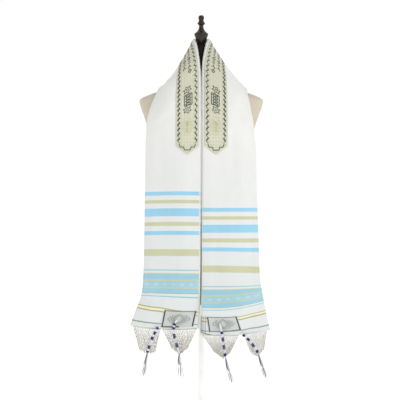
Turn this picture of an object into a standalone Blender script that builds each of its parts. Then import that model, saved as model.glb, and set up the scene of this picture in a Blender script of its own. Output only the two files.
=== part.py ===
"""Tallit prayer shawl, folded lengthwise in three and draped round the neck of a limbless dress form.

Metres, +Z up. The front faces -Y, the viewer's right is +X, and the origin lies on the floor under the pole.
The shawl is one long surface: u runs along it from the left hem, up the chest, round the back of the neck and
down to the right hem, and v runs across it from the inner edge (0) to the outer fold (1).
"""

import math
from collections import namedtuple

import bmesh
import bpy
import numpy as np
from mathutils import Vector
from mathutils.bvhtree import BVHTree

MM = 0.001
SEAM = 0.3 * MM
SEWN_GAP = 0.45 * MM

# Shawl: a cut of 1830 x 500 mm, folded in three
WALL = 1.2 * MM
LAYER_STEP = 2.8 * MM
FORM_CLEARANCE = LAYER_STEP + WALL / 2 + 2.2 * MM
FINIAL_CLEARANCE = LAYER_STEP + WALL / 2 + 0.7 * MM
SOFTNESS = 3.0 * MM
MIDDLE_V = 0.45
FOLD_POINTS = 3
COLUMNS = (0.0, 0.035, 0.15, 0.30, 0.45, 0.62, 0.80, 1.0)

# Neckband and corner patches, sewn on the front layer
BAND_WALL = 1.2 * MM
BAND_COLUMNS = COLUMNS[1:5]
BAND_POINT_ROWS = 0.22
BAND_POINT_LIFT = 1.2 * MM
BAND_TIP_SHARE = 0.06
PATCH_WALL = 1.0 * MM
PATCH_STEPS_UP = 3
PATCH_STEPS_ACROSS = 6

# Fringe and tassels
STRIP_HEIGHT = 4.0 * MM
STRIP_DEPTH = 5.6 * MM
LOCK_SPACING = 7.0 * MM
LOCK_HALF = 0.65 * MM
LOCK_INSET = 0.2 * MM
LOCK_SWAY = 0.5 * MM
LOCK_UNEVEN = 3.0 * MM
TASSEL_RADIUS = 2.5 * MM
KNOT_RADIUS = 3.9 * MM
TASSEL_KNOTS = 5
TASSEL_DEPTH_SPREAD = 5.0 * MM
STRAND_ROOT_HALF = 0.3 * MM
STRAND_HALF = 0.7 * MM
STRAND_UNEVEN = 0.05
# How far down a free strand each of its rings lies, and its thickness there, as shares
LOCK_LEVELS = ((0.5, 1.0), (1.0, 0.6))
STRAND_LEVELS = ((0.25, 1.0), (0.62, 0.9), (1.0, 0.6))

# Stand
POLE_RADIUS = 9.5 * MM
FLANGE_RADIUS = 45 * MM
FLANGE_THICKNESS = 6 * MM
BASE_RADIUS = 150 * MM
BASE_THICKNESS = 12 * MM
BASE_EDGE = 4 * MM
TORSO_BOTTOM = 335 * MM
TORSO_SIDES = 32
TURNED_STEPS = 24

# A section across the folded shawl: its inner edge, a point at MIDDLE_V and its outer fold, in mm; how far
# across the hidden third layer reaches; how far the outer fold stands open; the stations up to the next section
Section = namedtuple("Section", "inner middle outer back_reach fold_open steps")

LEFT_PANEL = (
    Section((-7, -112, 271), (-88, -117, 268), (-201, -92, 276), 0.58, 7, 2),
    Section((-6, -116, 321), (-86, -120, 322), (-179, -97, 333), 0.64, 6, 2),
    Section((-4.5, -119, 368), (-80, -124, 369), (-168, -99, 370), 0.78, 4, 1),
    Section((-3.5, -120, 439), (-75, -125, 440), (-164, -98, 439), 0.90, 2, 1),
    Section((-3, -121, 560), (-73, -124, 561), (-162, -97, 559), 0.98, 1, 2),
    Section((-2, -120, 690), (-73, -122, 691), (-160, -94, 689), 1.0, 1, 2),
    Section((-2, -119, 797), (-73, -120, 797), (-159, -91, 793), 1.0, 1, 2),
    Section((-2, -112, 890), (-73, -117, 879), (-157.5, -88.5, 832), 1.0, 1, 2),
    Section((-2, -98, 954), (-73, -112, 922), (-155.5, -84, 866), 1.0, 1, 2),
    Section((-3, -80, 1005), (-72, -102, 956), (-151, -78, 893), 1.0, 1, 3),
    Section((-6, -60, 1051), (-70, -85, 993), (-142, -68, 922), 1.0, 1, 3),
    Section((-12, -36, 1090), (-65, -58, 1022), (-129, -54, 951), 1.0, 1, 3),
    Section((-20, -2, 1120), (-55, 0, 1050), (-112, 3, 974), 1.0, 1, 2),
)
NECK_BACK = (
    Section((-15, 15, 1120), (-46, 38, 1047), (-94, 52, 962), 1.0, 1, 2),
    Section((0, 21, 1119), (0, 62, 1044), (0, 88, 964), 1.0, 1, 2),
    Section((15, 15, 1120), (46, 38, 1047), (98, 53, 960), 1.0, 1, 2),
)
RIGHT_PANEL = (
    Section((20, -2, 1120), (61, 0, 1050), (125, 3, 970), 1.0, 1, 3),
    Section((12, -36, 1090), (68, -58, 1020), (133, -58, 942), 1.0, 1, 3),
    Section((6, -60, 1051), (72, -85, 991), (141, -69, 910), 1.0, 1, 3),
    Section((4, -80, 1005), (74, -102, 953), (147, -79, 879), 1.0, 1, 2),
    Section((4, -98, 954), (75, -112, 920), (150, -85, 851), 1.0, 1, 2),
    Section((4, -112, 890), (75, -117, 876), (153, -88, 820), 1.0, 1, 2),
    Section((4, -119, 797), (75, -120, 797), (156, -91, 791), 1.0, 1, 2),
    Section((4, -121, 690), (75, -122, 690), (158, -94, 689), 1.0, 1, 2),
    Section((3, -122, 560), (75, -125, 560), (162, -97, 560), 0.98, 1, 2),
    Section((2, -122, 392), (76, -127, 392), (169, -101, 393), 0.90, 3, 1),
    Section((1, -125, 329), (80, -131, 330), (176, -105, 347), 0.78, 5, 2),
    Section((0, -121, 302), (83, -127, 299), (180.5, -102, 318), 0.66, 7, 2),
    Section((-1, -110, 254), (86, -115, 250), (193, -93, 264), 0.60, 8, 2),
)
SECTIONS = LEFT_PANEL + NECK_BACK + RIGHT_PANEL
LAST_ROW = len(SECTIONS) - 1
BAND_ROWS = (6, LAST_ROW - 6)

# A soft fold of the draped cloth: a ridge (or, below 0, a trough) from one place (row, v) to another, in mm
Fold = namedtuple("Fold", "start end height width")
FOLDS = (
    Fold((11.2, 0.78), (8.2, 0.54), 4.0, 19),
    Fold((10.6, 0.94), (8.4, 0.84), -2.5, 20),
    Fold((18.2, 0.64), (21.2, 0.55), 3.5, 19),
    Fold((18.0, 0.92), (20.0, 0.80), -2.5, 20),
    Fold((20.6, 0.74), (23.0, 0.68), 2.5, 19),
    Fold((6.4, 0.28), (2.6, 0.34), 2.5, 24),
    Fold((5.8, 0.72), (2.6, 0.68), -3.0, 24),
    Fold((22.0, 0.30), (25.6, 0.26), -2.5, 24),
    Fold((22.6, 0.74), (25.4, 0.70), 3.0, 24),
    Fold((1.0, 0.82), (0.0, 0.78), 5.0, 18),
    Fold((27.0, 0.78), (28.0, 0.76), -6.0, 20),
    Fold((27.0, 0.06), (28.0, 0.04), 4.0, 12),
    Fold((12.5, 0.80), (11.5, 0.78), -7.0, 18),
    Fold((13.0, 0.35), (12.9, 0.95), 4.0, 15),
    Fold((14.0, 0.40), (14.0, 0.95), -2.0, 13),
    Fold((15.0, 0.35), (15.1, 0.95), 4.0, 15),
)

# A corner patch: the places (row, v) of its corners
Patch = namedtuple("Patch", "name lower_inner lower_outer upper_inner upper_outer")
PATCHES = (
    Patch("corner_patch_left", (0.12, 0.097), (0.08, 0.600), (1.0, 0.040), (1.0, 0.567)),
    Patch(
        "corner_patch_right",
        (LAST_ROW - 0.18, 0.117),
        (LAST_ROW - 0.31, 0.610),
        (LAST_ROW - 1.18, 0.082),
        (LAST_ROW - 1.18, 0.555),
    ),
)

# A bunch of the fringe: hem row, the stretch of the hem that it hangs from (v), the share of its spread kept
# at its full length, its sideways lean there, its length, and how much shorter its outermost locks are, in mm
Bunch = namedtuple("Bunch", "name row first last keep lean length trim")
BUNCHES = (
    Bunch("fringe_left_outer", 0, 0.605, 0.985, 0.50, 2, 80, 6),
    Bunch("fringe_left_inner", 0, 0.035, 0.570, 0.24, 0, 80, 18),
    Bunch("fringe_right_inner", LAST_ROW, 0.030, 0.560, 0.22, 7, 72, 16),
    Bunch("fringe_right_outer", LAST_ROW, 0.640, 0.985, 0.42, 9, 74, 14),
)

# A corner tassel: the place of its root (row, v), whether that is on a patch, then how far its bend, its last
# knot and its tips lie to the right of the root and above it, and how wide the tips spread, in mm
Tassel = namedtuple("Tassel", "name root on_patch bend knot tips spread")
TASSELS = (
    Tassel("tassel_left_outer", (0.10, 0.632), False, (-18, -34), (-31, -73), (-46, -146), 13),
    Tassel("tassel_left_inner", (0.52, 0.360), True, (-9, -32), (7, -95), (9, -168), 21),
    Tassel("tassel_right_inner", (LAST_ROW - 0.72, 0.290), True, (7, -34), (15, -94), (33, -174), 15),
    Tassel("tassel_right_outer", (LAST_ROW - 0.10, 0.600), False, (24, -21), (48, -55), (71, -134), 12),
)

# Torso of the form: height, half width, depth to the front and to the back, in mm, and how square its section is
Ring = namedtuple("Ring", "height half_width front back squareness")
TORSO = (
    Ring(335, 146, 88, 100, 2.2),
    Ring(345, 151, 92, 104, 2.2),
    Ring(400, 158, 95, 110, 2.2),
    Ring(470, 148, 90, 102, 2.2),
    Ring(540, 128, 86, 86, 2.2),
    Ring(600, 118, 84, 75, 2.2),
    Ring(660, 121, 87, 74, 2.2),
    Ring(730, 134, 95, 79, 2.3),
    Ring(800, 146, 101, 85, 2.4),
    Ring(850, 156, 99, 88, 2.6),
    Ring(895, 171, 90, 88, 2.8),
    Ring(928, 182, 78, 84, 2.7),
    Ring(940, 182, 72, 81, 2.6),
    Ring(949, 166, 67, 78, 2.5),
    Ring(960, 138, 63, 75, 2.5),
    Ring(973, 104, 57, 70, 2.3),
    Ring(988, 72, 50, 61, 2.1),
    Ring(1004, 54, 46, 52, 2.0),
    Ring(1020, 46, 44, 46, 2.0),
)

# Turned wood, radius and height in mm, from the top down
Turned = namedtuple("Turned", "radius height")
NECK_CAP = (
    Turned(9.0, 1104.0),
    Turned(14.0, 1102.5),
    Turned(20.0, 1096.0),
    Turned(27.0, 1085.0),
    Turned(34.0, 1070.0),
    Turned(40.0, 1053.0),
    Turned(43.0, 1036.0),
    Turned(43.0, 1024.0),
    Turned(41.5, 1020.3),
)
FINIAL = (
    Turned(5.0, 1191.0),
    Turned(8.0, 1188.0),
    Turned(8.6, 1183.5),
    Turned(7.4, 1176.0),
    Turned(8.6, 1171.5),
    Turned(11.3, 1168.5),
    Turned(11.0, 1165.5),
    Turned(7.4, 1161.5),
    Turned(6.6, 1157.5),
    Turned(8.4, 1150.0),
    Turned(13.6, 1142.5),
    Turned(19.6, 1137.5),
    Turned(21.0, 1133.5),
    Turned(19.2, 1128.5),
    Turned(16.8, 1121.5),
    Turned(13.2, 1112.5),
    Turned(10.2, 1107.0),
    Turned(9.0, 1104.3),
)

# Name: colour (linear RGB), roughness, metallic
FINISHES = {
    "woven_white": ((0.86, 0.86, 0.85), 0.60, 0.0),
    "brocade": ((0.62, 0.63, 0.50), 0.55, 0.0),
    "silver_cloth": ((0.55, 0.56, 0.55), 0.50, 0.0),
    "cream_yarn": ((0.80, 0.79, 0.72), 0.80, 0.0),
    "knotted_yarn": ((0.30, 0.26, 0.50), 0.75, 0.0),
    "linen": ((0.66, 0.58, 0.46), 0.85, 0.0),
    "dark_wood": ((0.020, 0.014, 0.012), 0.28, 0.0),
    "white_paint": ((0.85, 0.85, 0.84), 0.35, 0.0),
}


def clear_scene():
    """Remove what the scene holds."""
    for old in list(bpy.data.objects):
        bpy.data.objects.remove(old, do_unlink=True)


def make_collection(name):
    """Return a new collection under the scene's own."""
    collection = bpy.data.collections.new(name)
    bpy.context.scene.collection.children.link(collection)
    return collection


def make_material(node_name, finish):
    """Return the Principled material of one node."""
    colour, roughness, metallic = FINISHES[finish]
    material = bpy.data.materials.new(node_name + "_finish")
    material.use_nodes = True
    shader = material.node_tree.nodes["Principled BSDF"]
    shader.inputs["Base Color"].default_value = (*colour, 1.0)
    shader.inputs["Roughness"].default_value = roughness
    shader.inputs["Metallic"].default_value = metallic
    material.diffuse_color = (*colour, 1.0)
    return material


def add_object(collection, name, bm, finish):
    """Turn a bmesh into a smooth-shaded object with its own material."""
    mesh = bpy.data.meshes.new(name)
    bm.to_mesh(mesh)
    bm.free()
    mesh.shade_smooth()
    mesh.set_sharp_from_angle(angle=math.radians(40))
    obj = bpy.data.objects.new(name, mesh)
    obj.data.materials.append(make_material(name, finish))
    collection.objects.link(obj)
    return obj


def add_wall(obj, thickness):
    """Give an open surface its thickness, half to each side."""
    wall = obj.modifiers.new("wall", "SOLIDIFY")
    wall.thickness = thickness
    wall.offset = 0.0
    wall.use_even_offset = False
    return obj


def lerp(a, b, t):
    """Return the value at t between a and b."""
    return a + (b - a) * t


# The draped surface


class Drape:
    """The smooth surface of the folded shawl's middle layer, kept clear of the form below it."""

    def __init__(self, obstacles):
        self.obstacles = obstacles
        rows = [(s.inner, s.middle, s.outer) for s in SECTIONS]
        self.points = np.array(rows, dtype=float) * MM
        middle = self.points[:, 1]
        spans = np.linalg.norm(np.diff(middle, axis=0), axis=1)
        self.spans = spans
        self.along = np.concatenate(([0.0], np.cumsum(spans)))
        slopes = np.diff(self.points, axis=0) / spans[:, None, None]
        before, after = spans[:-1, None, None], spans[1:, None, None]
        inner = (slopes[:-1] * after + slopes[1:] * before) / (before + after)
        self.tangents = np.concatenate((slopes[:1], inner, slopes[-1:]))
        width = np.linalg.norm(self.points[:, 2] - self.points[:, 0], axis=1)
        self.width = float(width.mean())

    def row_value(self, u, values):
        """Return a column of the section table, read at row u."""
        return float(np.interp(u, np.arange(len(values)), values))

    def section(self, u):
        """Return the inner, middle and outer points at row u, on curves through the table's points."""
        i = min(int(u), LAST_ROW - 1)
        t, h = u - i, self.spans[i]
        t2, t3 = t * t, t * t * t
        start = self.points[i] * (2 * t3 - 3 * t2 + 1) + self.tangents[i] * h * (t3 - 2 * t2 + t)
        end = self.points[i + 1] * (3 * t2 - 2 * t3) + self.tangents[i + 1] * h * (t3 - t2)
        return start + end

    def plain(self, u, v):
        """Return the surface point before folds, on a parabola across the section."""
        m = MIDDLE_V
        weights = (
            (v - m) * (v - 1.0) / m,
            v * (v - 1.0) / (m * (m - 1.0)),
            v * (v - m) / (1.0 - m),
        )
        return Vector(np.tensordot(weights, self.section(u), axes=1))

    def frame(self, u, v, step_u=0.05, step_v=0.01):
        """Return the directions along and across, and the outward normal, at (u, v)."""
        u0, u1 = max(0.0, u - step_u), min(LAST_ROW, u + step_u)
        v0, v1 = max(0.0, v - step_v), min(1.0, v + step_v)
        along = (self.plain(u1, v) - self.plain(u0, v)).normalized()
        across = (self.plain(u, v1) - self.plain(u, v0)).normalized()
        return along, across, along.cross(across).normalized()

    def fold_height(self, u, v):
        """Return how far the soft folds lift the cloth at (u, v)."""
        here = Vector((self.row_value(u, self.along), v * self.width))
        height = 0.0
        for fold in FOLDS:
            start = Vector((self.row_value(fold.start[0], self.along), fold.start[1] * self.width))
            end = Vector((self.row_value(fold.end[0], self.along), fold.end[1] * self.width))
            run = end - start
            t = min(1.0, max(0.0, (here - start).dot(run) / run.length_squared))
            distance = (here - (start + run * t)).length / (fold.width * MM)
            height += fold.height * MM * math.exp(-distance * distance)
        return height

    def clear_of_form(self, point):
        """Move a point out, softly, until it stands clear of the form."""
        for tree, clearance in self.obstacles:
            spot, normal, _, _ = tree.find_nearest(point)
            away = point - spot
            distance = away.length
            side = 1.0 if away.dot(normal) > -0.2 * distance else -1.0
            out = away.normalized() * side if distance > 1e-6 else normal
            over = distance * side - clearance
            point = point + out * 0.5 * (math.sqrt(over * over + SOFTNESS * SOFTNESS) - over)
        return point

    def place(self, u, v):
        """Return the surface point at (u, v), folds and all."""
        point = self.plain(u, v)
        _, _, normal = self.frame(u, v)
        return self.clear_of_form(point + normal * self.fold_height(u, v))

    def lifted(self, u, v, lift, beyond=0.0):
        """Return a point off the surface: lift along its normal, and beyond it sideways."""
        _, across, normal = self.frame(u, v)
        return self.place(u, v) + normal * lift + across * beyond

    def fold_opening(self, u):
        """Return how far the outer fold stands open at row u."""
        return self.row_value(u, [s.fold_open * MM for s in SECTIONS])

    def front_lift(self, u, v):
        """Return the height of the front layer over the middle one."""
        return LAYER_STEP + self.fold_opening(u) * v ** 4


def station_rows():
    """Return the rows u at which the shawl has a ring of points."""
    rows = []
    for i, section in enumerate(SECTIONS[:-1]):
        rows += [i + k / section.steps for k in range(section.steps)]
    return rows + [float(LAST_ROW)]


def half_turn(count):
    """Return the (sideways, upwards) places of points between the ends of a half circle of radius 1."""
    turns = [math.pi * (k + 1) / (count + 1) for k in range(count)]
    return [(math.sin(a), math.cos(a)) for a in turns]


def layer_profile(drape, u):
    """Return the points across the three layers at row u: front, outer fold, middle, inner fold, back."""
    reach = drape.row_value(u, [s.back_reach for s in SECTIONS])
    points = [drape.lifted(u, v, drape.front_lift(u, v)) for v in COLUMNS]
    radius = drape.front_lift(u, 1.0) / 2
    for side, up in half_turn(FOLD_POINTS):
        points.append(drape.lifted(u, 1.0, radius * (1 + up), radius * side))
    points += [drape.lifted(u, v, 0.0) for v in reversed(COLUMNS)]
    radius = LAYER_STEP / 2
    for side, up in half_turn(FOLD_POINTS - 1):
        points.append(drape.lifted(u, 0.0, radius * (up - 1), -radius * side))
    for v in COLUMNS:
        beyond = max(0.0, v - MIDDLE_V) / (1.0 - MIDDLE_V)
        points.append(drape.lifted(u, min(v, MIDDLE_V) + beyond * (reach - MIDDLE_V), -LAYER_STEP))
    return points


def grid_surface(rows, turned_spans=()):
    """Return a bmesh grid through the rows of points given, facing away from the form.

    Its quads are split so that layers that lie on each other fold along the same diagonals: turned_spans holds
    the spans across where the rows run back.
    """
    bm = bmesh.new()
    across, along = len(rows[0]), len(rows)
    bmesh.ops.create_grid(bm, x_segments=across - 1, y_segments=along - 1, size=1.0)
    places = {}
    for vert in bm.verts:
        i = round((vert.co.y + 1.0) / 2.0 * (along - 1))
        j = round((vert.co.x + 1.0) / 2.0 * (across - 1))
        places[vert] = (i, j)
        vert.co = rows[i][j]
    for face in list(bm.faces):
        corners = {places[vert]: vert for vert in face.verts}
        i, j = min(corners)
        if j in turned_spans:
            bmesh.utils.face_split(face, corners[i, j + 1], corners[i + 1, j])
        else:
            bmesh.utils.face_split(face, corners[i, j], corners[i + 1, j + 1])
    bmesh.ops.reverse_faces(bm, faces=bm.faces)
    return bm


def build_cloth(collection, drape):
    """Build the folded shawl as one bent wall."""
    rows = [layer_profile(drape, u) for u in station_rows()]
    middle_start = len(COLUMNS) + FOLD_POINTS
    bm = grid_surface(rows, range(middle_start, middle_start + len(COLUMNS) - 1))
    return add_wall(add_object(collection, "shawl_cloth", bm, "woven_white"), WALL)


def sewn_lift(drape, u, v, wall):
    """Return the height of a sewn-on piece's middle over the middle layer."""
    return drape.front_lift(u, v) + WALL / 2 + SEWN_GAP + wall / 2


def build_neckband(collection, drape):
    """Build the embroidered band round the neck, with a pointed end on each panel."""
    first, last = BAND_ROWS
    centre = (BAND_COLUMNS[0] + BAND_COLUMNS[-1]) / 2
    ends = {first - BAND_POINT_ROWS: BAND_TIP_SHARE, last + BAND_POINT_ROWS: BAND_TIP_SHARE}
    stations = sorted([u for u in station_rows() if first <= u <= last] + list(ends))
    rows = []
    for u in stations:
        spread = ends.get(u, 1.0)
        extra = BAND_POINT_LIFT * (1 - spread)
        row = []
        for column in BAND_COLUMNS:
            v = lerp(centre, column, spread)
            row.append(drape.lifted(u, v, sewn_lift(drape, u, v, BAND_WALL) + extra))
        rows.append(row)
    bm = grid_surface(rows)
    return add_wall(add_object(collection, "neckband", bm, "brocade"), BAND_WALL)


def build_patch(collection, drape, patch):
    """Build the four-sided reinforcing patch of a corner that shows."""
    rows = []
    for k in range(PATCH_STEPS_UP + 1):
        up = k / PATCH_STEPS_UP
        row = []
        for j in range(PATCH_STEPS_ACROSS + 1):
            across = j / PATCH_STEPS_ACROSS
            u, v = (
                lerp(lerp(a, b, across), lerp(c, d, across), up)
                for a, b, c, d in zip(patch.lower_inner, patch.lower_outer, patch.upper_inner, patch.upper_outer)
            )
            row.append(drape.lifted(u, v, sewn_lift(drape, u, v, PATCH_WALL)))
        rows.append(row)
    if patch.upper_inner[0] < patch.lower_inner[0]:
        rows.reverse()
    bm = grid_surface(rows)
    return add_wall(add_object(collection, patch.name, bm, "silver_cloth"), PATCH_WALL)


# Fringe and tassels


def set_square(face, centre, half):
    """Move a four-sided face's corners to a small level square, turned as the face is."""
    corners = list(face.verts)
    along = corners[1].co - corners[0].co
    across = corners[3].co - corners[0].co
    along.z = across.z = 0.0
    along.normalize()
    across = (across - along * across.dot(along)).normalized()
    for corner, (a, b) in zip(corners, ((-1, -1), (1, -1), (1, 1), (-1, 1))):
        corner.co = centre + (along * a + across * b) * half


def grow_strand(bm, face, root_half, levels):
    """Draw one face out from a small root through the (centre, half thickness) levels, as a free strand."""
    root = face.calc_center_median()
    bmesh.ops.inset_individual(bm, faces=[face], thickness=LOCK_INSET)
    set_square(face, root, root_half)
    for centre, half in levels:
        face = bmesh.ops.extrude_discrete_faces(bm, faces=[face])["faces"][0]
        set_square(face, centre, half)


def raised_grid(bm, columns, rows):
    """Add a closed slab one grid high and return its lower vertices, upper vertices and lower faces."""
    made = bmesh.ops.create_grid(bm, x_segments=columns, y_segments=rows, size=1.0)
    lower = made["verts"]
    faces = list({face for vert in lower for face in vert.link_faces})
    raised = bmesh.ops.extrude_face_region(bm, geom=faces, use_keep_orig=True)
    upper = [item for item in raised["geom"] if isinstance(item, bmesh.types.BMVert)]
    for vert in upper:
        vert.co.z += 1.0
    bmesh.ops.reverse_faces(bm, faces=faces)
    return lower, upper, faces


def build_fringe(collection, drape, bunch):
    """Build one bunch of the fringe: a strip parted from the hem, with two rows of free locks."""
    start = drape.place(bunch.row, bunch.first)
    end = drape.place(bunch.row, bunch.last)
    count = round((end - start).length / LOCK_SPACING)
    bm = bmesh.new()
    lower, upper, faces = raised_grid(bm, count, 2)
    inward = 1 if bunch.row == 0 else -1
    for vert in lower + upper:
        share = (vert.co.x + 1.0) / 2.0
        v = lerp(bunch.first, bunch.last, share)
        along, _, normal = drape.frame(bunch.row, v)
        down = -along * inward
        drop = SEAM if vert.co.z > 0.5 else SEAM + STRIP_HEIGHT
        vert.co = drape.place(bunch.row, v) + normal * (vert.co.y * STRIP_DEPTH / 2) + down * drop
    middle = (start + end) / 2
    half_spread = (end - start).length / 2
    for number, face in enumerate(sorted(faces, key=lambda f: tuple(f.calc_center_median()))):
        root = face.calc_center_median()
        share = max(-1.0, min(1.0, (root.x - middle.x) / half_spread))
        length = (bunch.length - bunch.trim * abs(share)) * MM - LOCK_UNEVEN * (number % 3)
        gather = ((1 - bunch.keep) * (middle.x - root.x) + bunch.lean * MM) * length / (bunch.length * MM)
        depth = LOCK_SWAY * math.sin(number * 2.1)
        levels = []
        for t, thickness in LOCK_LEVELS:
            centre = root + Vector((gather * t, depth * t, -length * t))
            levels.append((centre, LOCK_HALF * thickness))
        grow_strand(bm, face, LOCK_HALF, levels)
    bmesh.ops.recalc_face_normals(bm, faces=bm.faces)
    return add_object(collection, bunch.name, bm, "cream_yarn")


def curve_point(points, t):
    """Return the point at t on a smooth curve through four points."""
    spans = len(points) - 1
    i = min(int(t * spans), spans - 1)
    f = t * spans - i
    before, after = points[max(0, i - 1)], points[min(spans, i + 2)]
    a, b = points[i], points[i + 1]
    ta, tb = (b - before) / 2, (after - a) / 2
    return (
        a * (2 * f**3 - 3 * f**2 + 1)
        + ta * (f**3 - 2 * f**2 + f)
        + b * (3 * f**2 - 2 * f**3)
        + tb * (f**3 - f**2)
    )


def stem_levels():
    """Return (share of the stem, radius) down a stem of evenly tied knots."""
    levels = [(0.0, TASSEL_RADIUS)]
    for k in range(TASSEL_KNOTS):
        levels += [((k + 0.5) / TASSEL_KNOTS, KNOT_RADIUS), ((k + 1) / TASSEL_KNOTS, TASSEL_RADIUS)]
    return levels


def build_tassel(collection, drape, tassel):
    """Build one corner tassel: a knotted stem and eight free strands."""
    u, v = tassel.root
    lift = drape.front_lift(u, v) + WALL / 2 + SEAM
    if tassel.on_patch:
        lift += SEWN_GAP + PATCH_WALL
    root = drape.lifted(u, v, lift + KNOT_RADIUS)
    seat = drape.lifted(u, v, lift + TASSEL_RADIUS)
    marks = [(0, 0), tassel.bend, tassel.knot]
    route = [root + Vector((x * MM, 0.0, z * MM)) for x, z in marks]
    levels = stem_levels()
    bm = bmesh.new()
    made = bmesh.ops.create_grid(bm, x_segments=4, y_segments=2, size=1.0)
    region = list(bm.faces)
    disc = {}
    for vert in made["verts"]:
        x, y = vert.co.x, vert.co.y
        disc[vert] = Vector((x * math.sqrt(1 - y * y / 2), y * math.sqrt(1 - x * x / 2), 0.0))
    centre = curve_point(route, 1.0)
    for vert, place in disc.items():
        vert.co = centre + place * levels[-1][1]
    tips = region
    for level in range(len(levels) - 2, -1, -1):
        share, radius = levels[level]
        raised = bmesh.ops.extrude_face_region(bm, geom=region, use_keep_orig=True)
        if region is not tips:
            bmesh.ops.delete(bm, geom=region, context="FACES")
        verts = [item for item in raised["geom"] if isinstance(item, bmesh.types.BMVert)]
        region = [item for item in raised["geom"] if isinstance(item, bmesh.types.BMFace)]
        previous, centre = centre, curve_point(route, share) if level else seat
        for vert in verts:
            vert.co = centre + (vert.co - previous) * (radius / levels[level + 1][1])
    last = curve_point(route, 1.0)
    tip_offset = Vector((tassel.tips[0] - tassel.knot[0], 0.0, tassel.tips[1] - tassel.knot[1])) * MM
    for number, face in enumerate(tips):
        start = face.calc_center_median()
        side = (start.x - last.x) / levels[-1][1]
        depth = (start.y - last.y) / levels[-1][1]
        shorter = 1.0 - STRAND_UNEVEN * (number % 3)
        spread = Vector((side * tassel.spread / 2 * MM, depth * TASSEL_DEPTH_SPREAD, 0.0))
        strand = []
        for t, thickness in STRAND_LEVELS:
            centre = start + tip_offset * (t * shorter) + spread * t
            strand.append((centre, STRAND_HALF * thickness))
        grow_strand(bm, face, STRAND_ROOT_HALF, strand)
    bmesh.ops.recalc_face_normals(bm, faces=bm.faces)
    return add_object(collection, tassel.name, bm, "knotted_yarn")


# Dress form and stand


def ring_points(ring):
    """Return the points of one level section of the torso, a superellipse deeper at the back."""
    points = []
    for k in range(TORSO_SIDES):
        a = 2 * math.pi * k / TORSO_SIDES
        power = 2.0 / ring.squareness
        x = ring.half_width * math.copysign(abs(math.cos(a)) ** power, math.cos(a))
        depth = ring.back if math.sin(a) > 0 else ring.front
        y = depth * math.copysign(abs(math.sin(a)) ** power, math.sin(a))
        points.append(Vector((x, y, ring.height)) * MM)
    return points


def build_torso(collection):
    """Build the torso as a loft through its rings, closed at both ends."""
    bm = bmesh.new()
    loops = [[bm.verts.new(p) for p in ring_points(ring)] for ring in TORSO]
    for low, high in zip(loops, loops[1:]):
        for k in range(TORSO_SIDES):
            n = (k + 1) % TORSO_SIDES
            bm.faces.new((low[k], low[n], high[n], high[k]))
    bm.faces.new(reversed(loops[0]))
    bm.faces.new(loops[-1])
    return add_object(collection, "form_torso", bm, "linen")


def build_turned(collection, name, profile, finish):
    """Turn a profile of (radius, height) points, top first, about the upright axis."""
    mesh = bpy.data.meshes.new(name)
    radii = [0.0] + [p.radius * MM for p in profile] + [0.0]
    heights = [profile[0].height * MM] + [p.height * MM for p in profile] + [profile[-1].height * MM]
    points = [(r, 0.0, h) for r, h in zip(radii, heights)]
    mesh.from_pydata(points, [(i, i + 1) for i in range(len(points) - 1)], [])
    obj = bpy.data.objects.new(name, mesh)
    obj.data.materials.append(make_material(name, finish))
    collection.objects.link(obj)
    screw = obj.modifiers.new("turn", "SCREW")
    screw.steps = TURNED_STEPS
    screw.render_steps = TURNED_STEPS
    screw.use_merge_vertices = True
    screw.merge_threshold = 0.00001
    screw.use_smooth_shade = True
    return obj


def build_stand(collection):
    """Build the pole with its flange and foot, and the round base plate."""
    top = (TORSO_BOTTOM - SEAM) / MM
    foot = (BASE_THICKNESS + SEAM) / MM
    flange, pole = FLANGE_RADIUS / MM, POLE_RADIUS / MM
    thick = FLANGE_THICKNESS / MM
    pole_profile = (
        Turned(flange, top),
        Turned(flange, top - thick),
        Turned(pole + 4, top - thick - 2),
        Turned(pole, top - thick - 10),
        Turned(pole, foot + 14),
        Turned(pole + 6, foot + 10),
        Turned(pole + 14, foot),
    )
    build_turned(collection, "stand_pole", pole_profile, "white_paint")
    radius, thickness, edge = BASE_RADIUS / MM, BASE_THICKNESS / MM, BASE_EDGE / MM
    base_profile = (
        Turned(radius - edge, thickness),
        Turned(radius - edge * 0.3, thickness - edge * 0.3),
        Turned(radius, thickness - edge),
        Turned(radius, 1.0),
        Turned(radius - 1.0, 0.0),
    )
    build_turned(collection, "stand_base", base_profile, "white_paint")


def obstacle(obj):
    """Return a search tree over an object's finished surface."""
    return BVHTree.FromObject(obj, bpy.context.evaluated_depsgraph_get())


def main():
    """Build the form and its stand, then the shawl and what is sewn, knotted and tied to it."""
    clear_scene()
    collection = make_collection("tallit_on_dress_form")
    torso = build_torso(collection)
    cap = build_turned(collection, "form_neck_cap", NECK_CAP, "dark_wood")
    finial = build_turned(collection, "form_finial", FINIAL, "dark_wood")
    build_stand(collection)
    drape = Drape(
        (
            (obstacle(torso), FORM_CLEARANCE),
            (obstacle(cap), FORM_CLEARANCE),
            (obstacle(finial), FINIAL_CLEARANCE),
        )
    )
    build_cloth(collection, drape)
    build_neckband(collection, drape)
    for patch in PATCHES:
        build_patch(collection, drape, patch)
    for bunch in BUNCHES:
        build_fringe(collection, drape, bunch)
    for tassel in TASSELS:
        build_tassel(collection, drape, tassel)


main()
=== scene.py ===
"""Looks of a tallit prayer shawl, folded lengthwise in three and draped on a dress form.

Metres, +Z up. The front faces -Y and the viewer's right is +X. On the draped cloth, u runs along the shawl
from the left hem over the neck to the right hem, in rows of the section table, and v runs across the folded
panel from its inner edge (0) to its outer fold (1).
"""

import logging
import math
from abc import ABC, abstractmethod
from collections.abc import Callable, Mapping, Sequence
from dataclasses import dataclass
from enum import Enum
from typing import Any, NamedTuple

import bmesh
import bpy
import numpy as np
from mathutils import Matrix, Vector
from mathutils.bvhtree import BVHTree


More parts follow.
